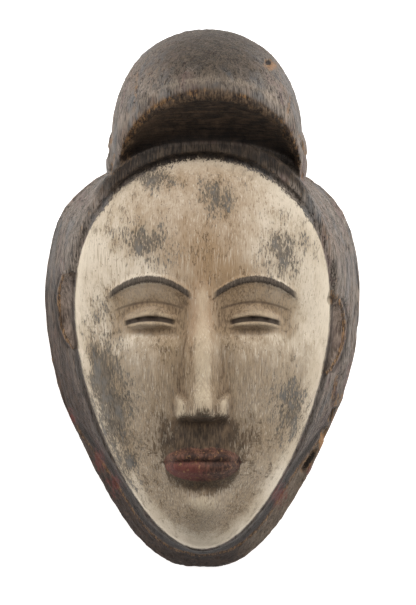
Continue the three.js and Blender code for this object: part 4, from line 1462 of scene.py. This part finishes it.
# %% Clay over wood, and traces of red
hairline = north.step(30.0, 60.0)
torn = (frays - 0.5) * 2.6 + ((rubs - 0.5) * 12.0 + (blots - 0.5) * 8.0 - 1.6) * hairline
cover = ((face_gap - 0.6) * -1.0 + torn).step(-0.3, 0.7)
painted = blend(dark_side, clay, cover)
TRACES = [(-76, -69, 4, 6), (-60, -93, 4, 9), (-51, -107, 5, 7), (63, -104, 5, 8), (44, -113, 5, 8)]
trace = patches(TRACES, 1.3) + (frays - 0.5) * 3.0 + (blots - 0.5) * 1.5
trace = trace.step(0.2, 0.8) * (1.0 - cover)
painted = blend(painted, colour(112, 50, 44), trace * 0.5)

# %% [markdown]
# ## Surface
#
# Clay and old wood are both dry, so the shine is low and uneven. Fine grain is left to bump: the
# clay is nearly smooth, the wood is deeply lined.

# %% Bump, roughness and the surface shader
relief = fibres * 0.55 + pores * 0.3 + frays * 0.3 + blots * 0.5 - cracks * 0.45
clay_relief = rubs * 0.25 + scratches * 0.15 + specks * 0.12 - gone * 0.14 - flakes * 0.08 + blots * 0.3
clay_relief = clay_relief - splits * 0.2 - scores * corners * 0.2
ripple = relief * (1.0 - cover) + clay_relief * cover + across * under_brim * 0.5
bump = Value.make(
    "ShaderNodeBump", {}, {"Strength": 0.85, "Distance": 0.0011, "Height": ripple}
)
rough = (0.62 + cover * 0.16 + fibres * 0.2 - lips * 0.22).least(0.95)
surface = Value.make(
    "ShaderNodeBsdfPrincipled",
    {},
    {"Base Color": painted, "Roughness": rough, "Normal": bump, "Specular IOR Level": 0.22},
)
end = tree.nodes.new("ShaderNodeOutputMaterial")
tree.links.new(surface.socket, end.inputs["Surface"])
mask.data.materials.clear()
mask.data.materials.append(material)
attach(mask, "root")
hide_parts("mask")
print("shader nodes:", len(tree.nodes))

# %% [markdown]
# ## Stage, light and camera
#
# The photograph was taken straight on, against white. The mask lies down here, so its background
# is the floor. A floor that glows by itself stays white without a strong lamp, which would bleach
# the clay.

# %% Floor
floor_mesh = bpy.data.meshes.new("floor")
floor_mesh.from_pydata([(-4, -4, 0), (4, -4, 0), (4, 4, 0), (-4, 4, 0)], [], [(0, 1, 2, 3)])
floor = bpy.data.objects.new("floor", floor_mesh)
bpy.context.scene.collection.objects.link(floor)
floor.location.z = -0.0005
paper = bpy.data.materials.new("white_paper")
paper.use_nodes = True
tree = paper.node_tree
sheet = tree.nodes["Principled BSDF"]
sheet.inputs["Base Color"].default_value = (0.9, 0.9, 0.9, 1)
sheet.inputs["Roughness"].default_value = 0.9
sheet.inputs["Emission Color"].default_value = (1, 1, 1, 1)
sheet.inputs["Emission Strength"].default_value = 0.8
floor_mesh.materials.append(paper)

# %% [markdown]
# The photograph has large soft lamps at both sides and one above the crown. Small lamps would draw
# hard shadows under the brim, so these are area lamps. The right one is a little stronger, which
# models the nose and the cheeks. A faint white world fills what they miss.

# %% Lamps
def lamp(name, where, size, power, tint):
    data = bpy.data.lights.new(name, "AREA")
    data.shape = "RECTANGLE"
    data.size, data.size_y = size
    data.energy = power
    data.color = tint
    thing = bpy.data.objects.new(name, data)
    thing.location = where
    aim = -thing.location
    thing.rotation_mode = "QUATERNION"
    thing.rotation_quaternion = aim.to_track_quat("-Z", "Y")
    bpy.context.scene.collection.objects.link(thing)


lamp("left_box", (-1.3, 0.2, 0.5), (0.6, 1.0), 9.5, (1, 0.99, 0.97))
lamp("right_box", (1.2, 0.4, 0.7), (0.5, 0.8), 10.5, (1, 0.99, 0.97))
lamp("crown_box", (0.1, 1.1, 1.5), (1.2, 0.6), 22, (1, 1, 1))
world = bpy.data.worlds.new("soft_white")
bpy.context.scene.world = world
world.use_nodes = True
world.node_tree.nodes["Background"].inputs["Color"].default_value = (1, 1, 1, 1)
world.node_tree.nodes["Background"].inputs["Strength"].default_value = 0.26
bpy.context.scene.view_settings.view_transform = "Standard"

# %% [markdown]
# A camera close to the mask would make the brim look larger than it is. This one stands six metres
# above the floor with a long lens, and its frame is as large as the photograph at the mask's
# scale: the mask is 538 pixels tall in it, and the origin lies on the pixel named here.

# %% Camera
PHOTO = (416, 605)
MASK_PIXELS = 538
ORIGIN_PIXEL = (202.5, 299)
MM_PER_PIXEL = MASK_HEIGHT / MASK_PIXELS
CAMERA_HEIGHT = 6.0
SENSOR = 36
FOCUS_HEIGHT = 0.03
camera_data = bpy.data.cameras.new("camera")
camera = bpy.data.objects.new("camera", camera_data)
bpy.context.scene.collection.objects.link(camera)
right = (PHOTO[0] / 2 - ORIGIN_PIXEL[0]) * MM_PER_PIXEL / 1000
up = (ORIGIN_PIXEL[1] - PHOTO[1] / 2) * MM_PER_PIXEL / 1000
camera.location = (right, up, CAMERA_HEIGHT)
camera_data.sensor_width = SENSOR
seen = PHOTO[1] * MM_PER_PIXEL / 1000
camera_data.lens = SENSOR * (CAMERA_HEIGHT - FOCUS_HEIGHT) / seen
camera_data.clip_start = 0.1
bpy.context.scene.camera = camera
print("lens", round(camera_data.lens), "mm, frame", round(seen * 1000), "mm tall")
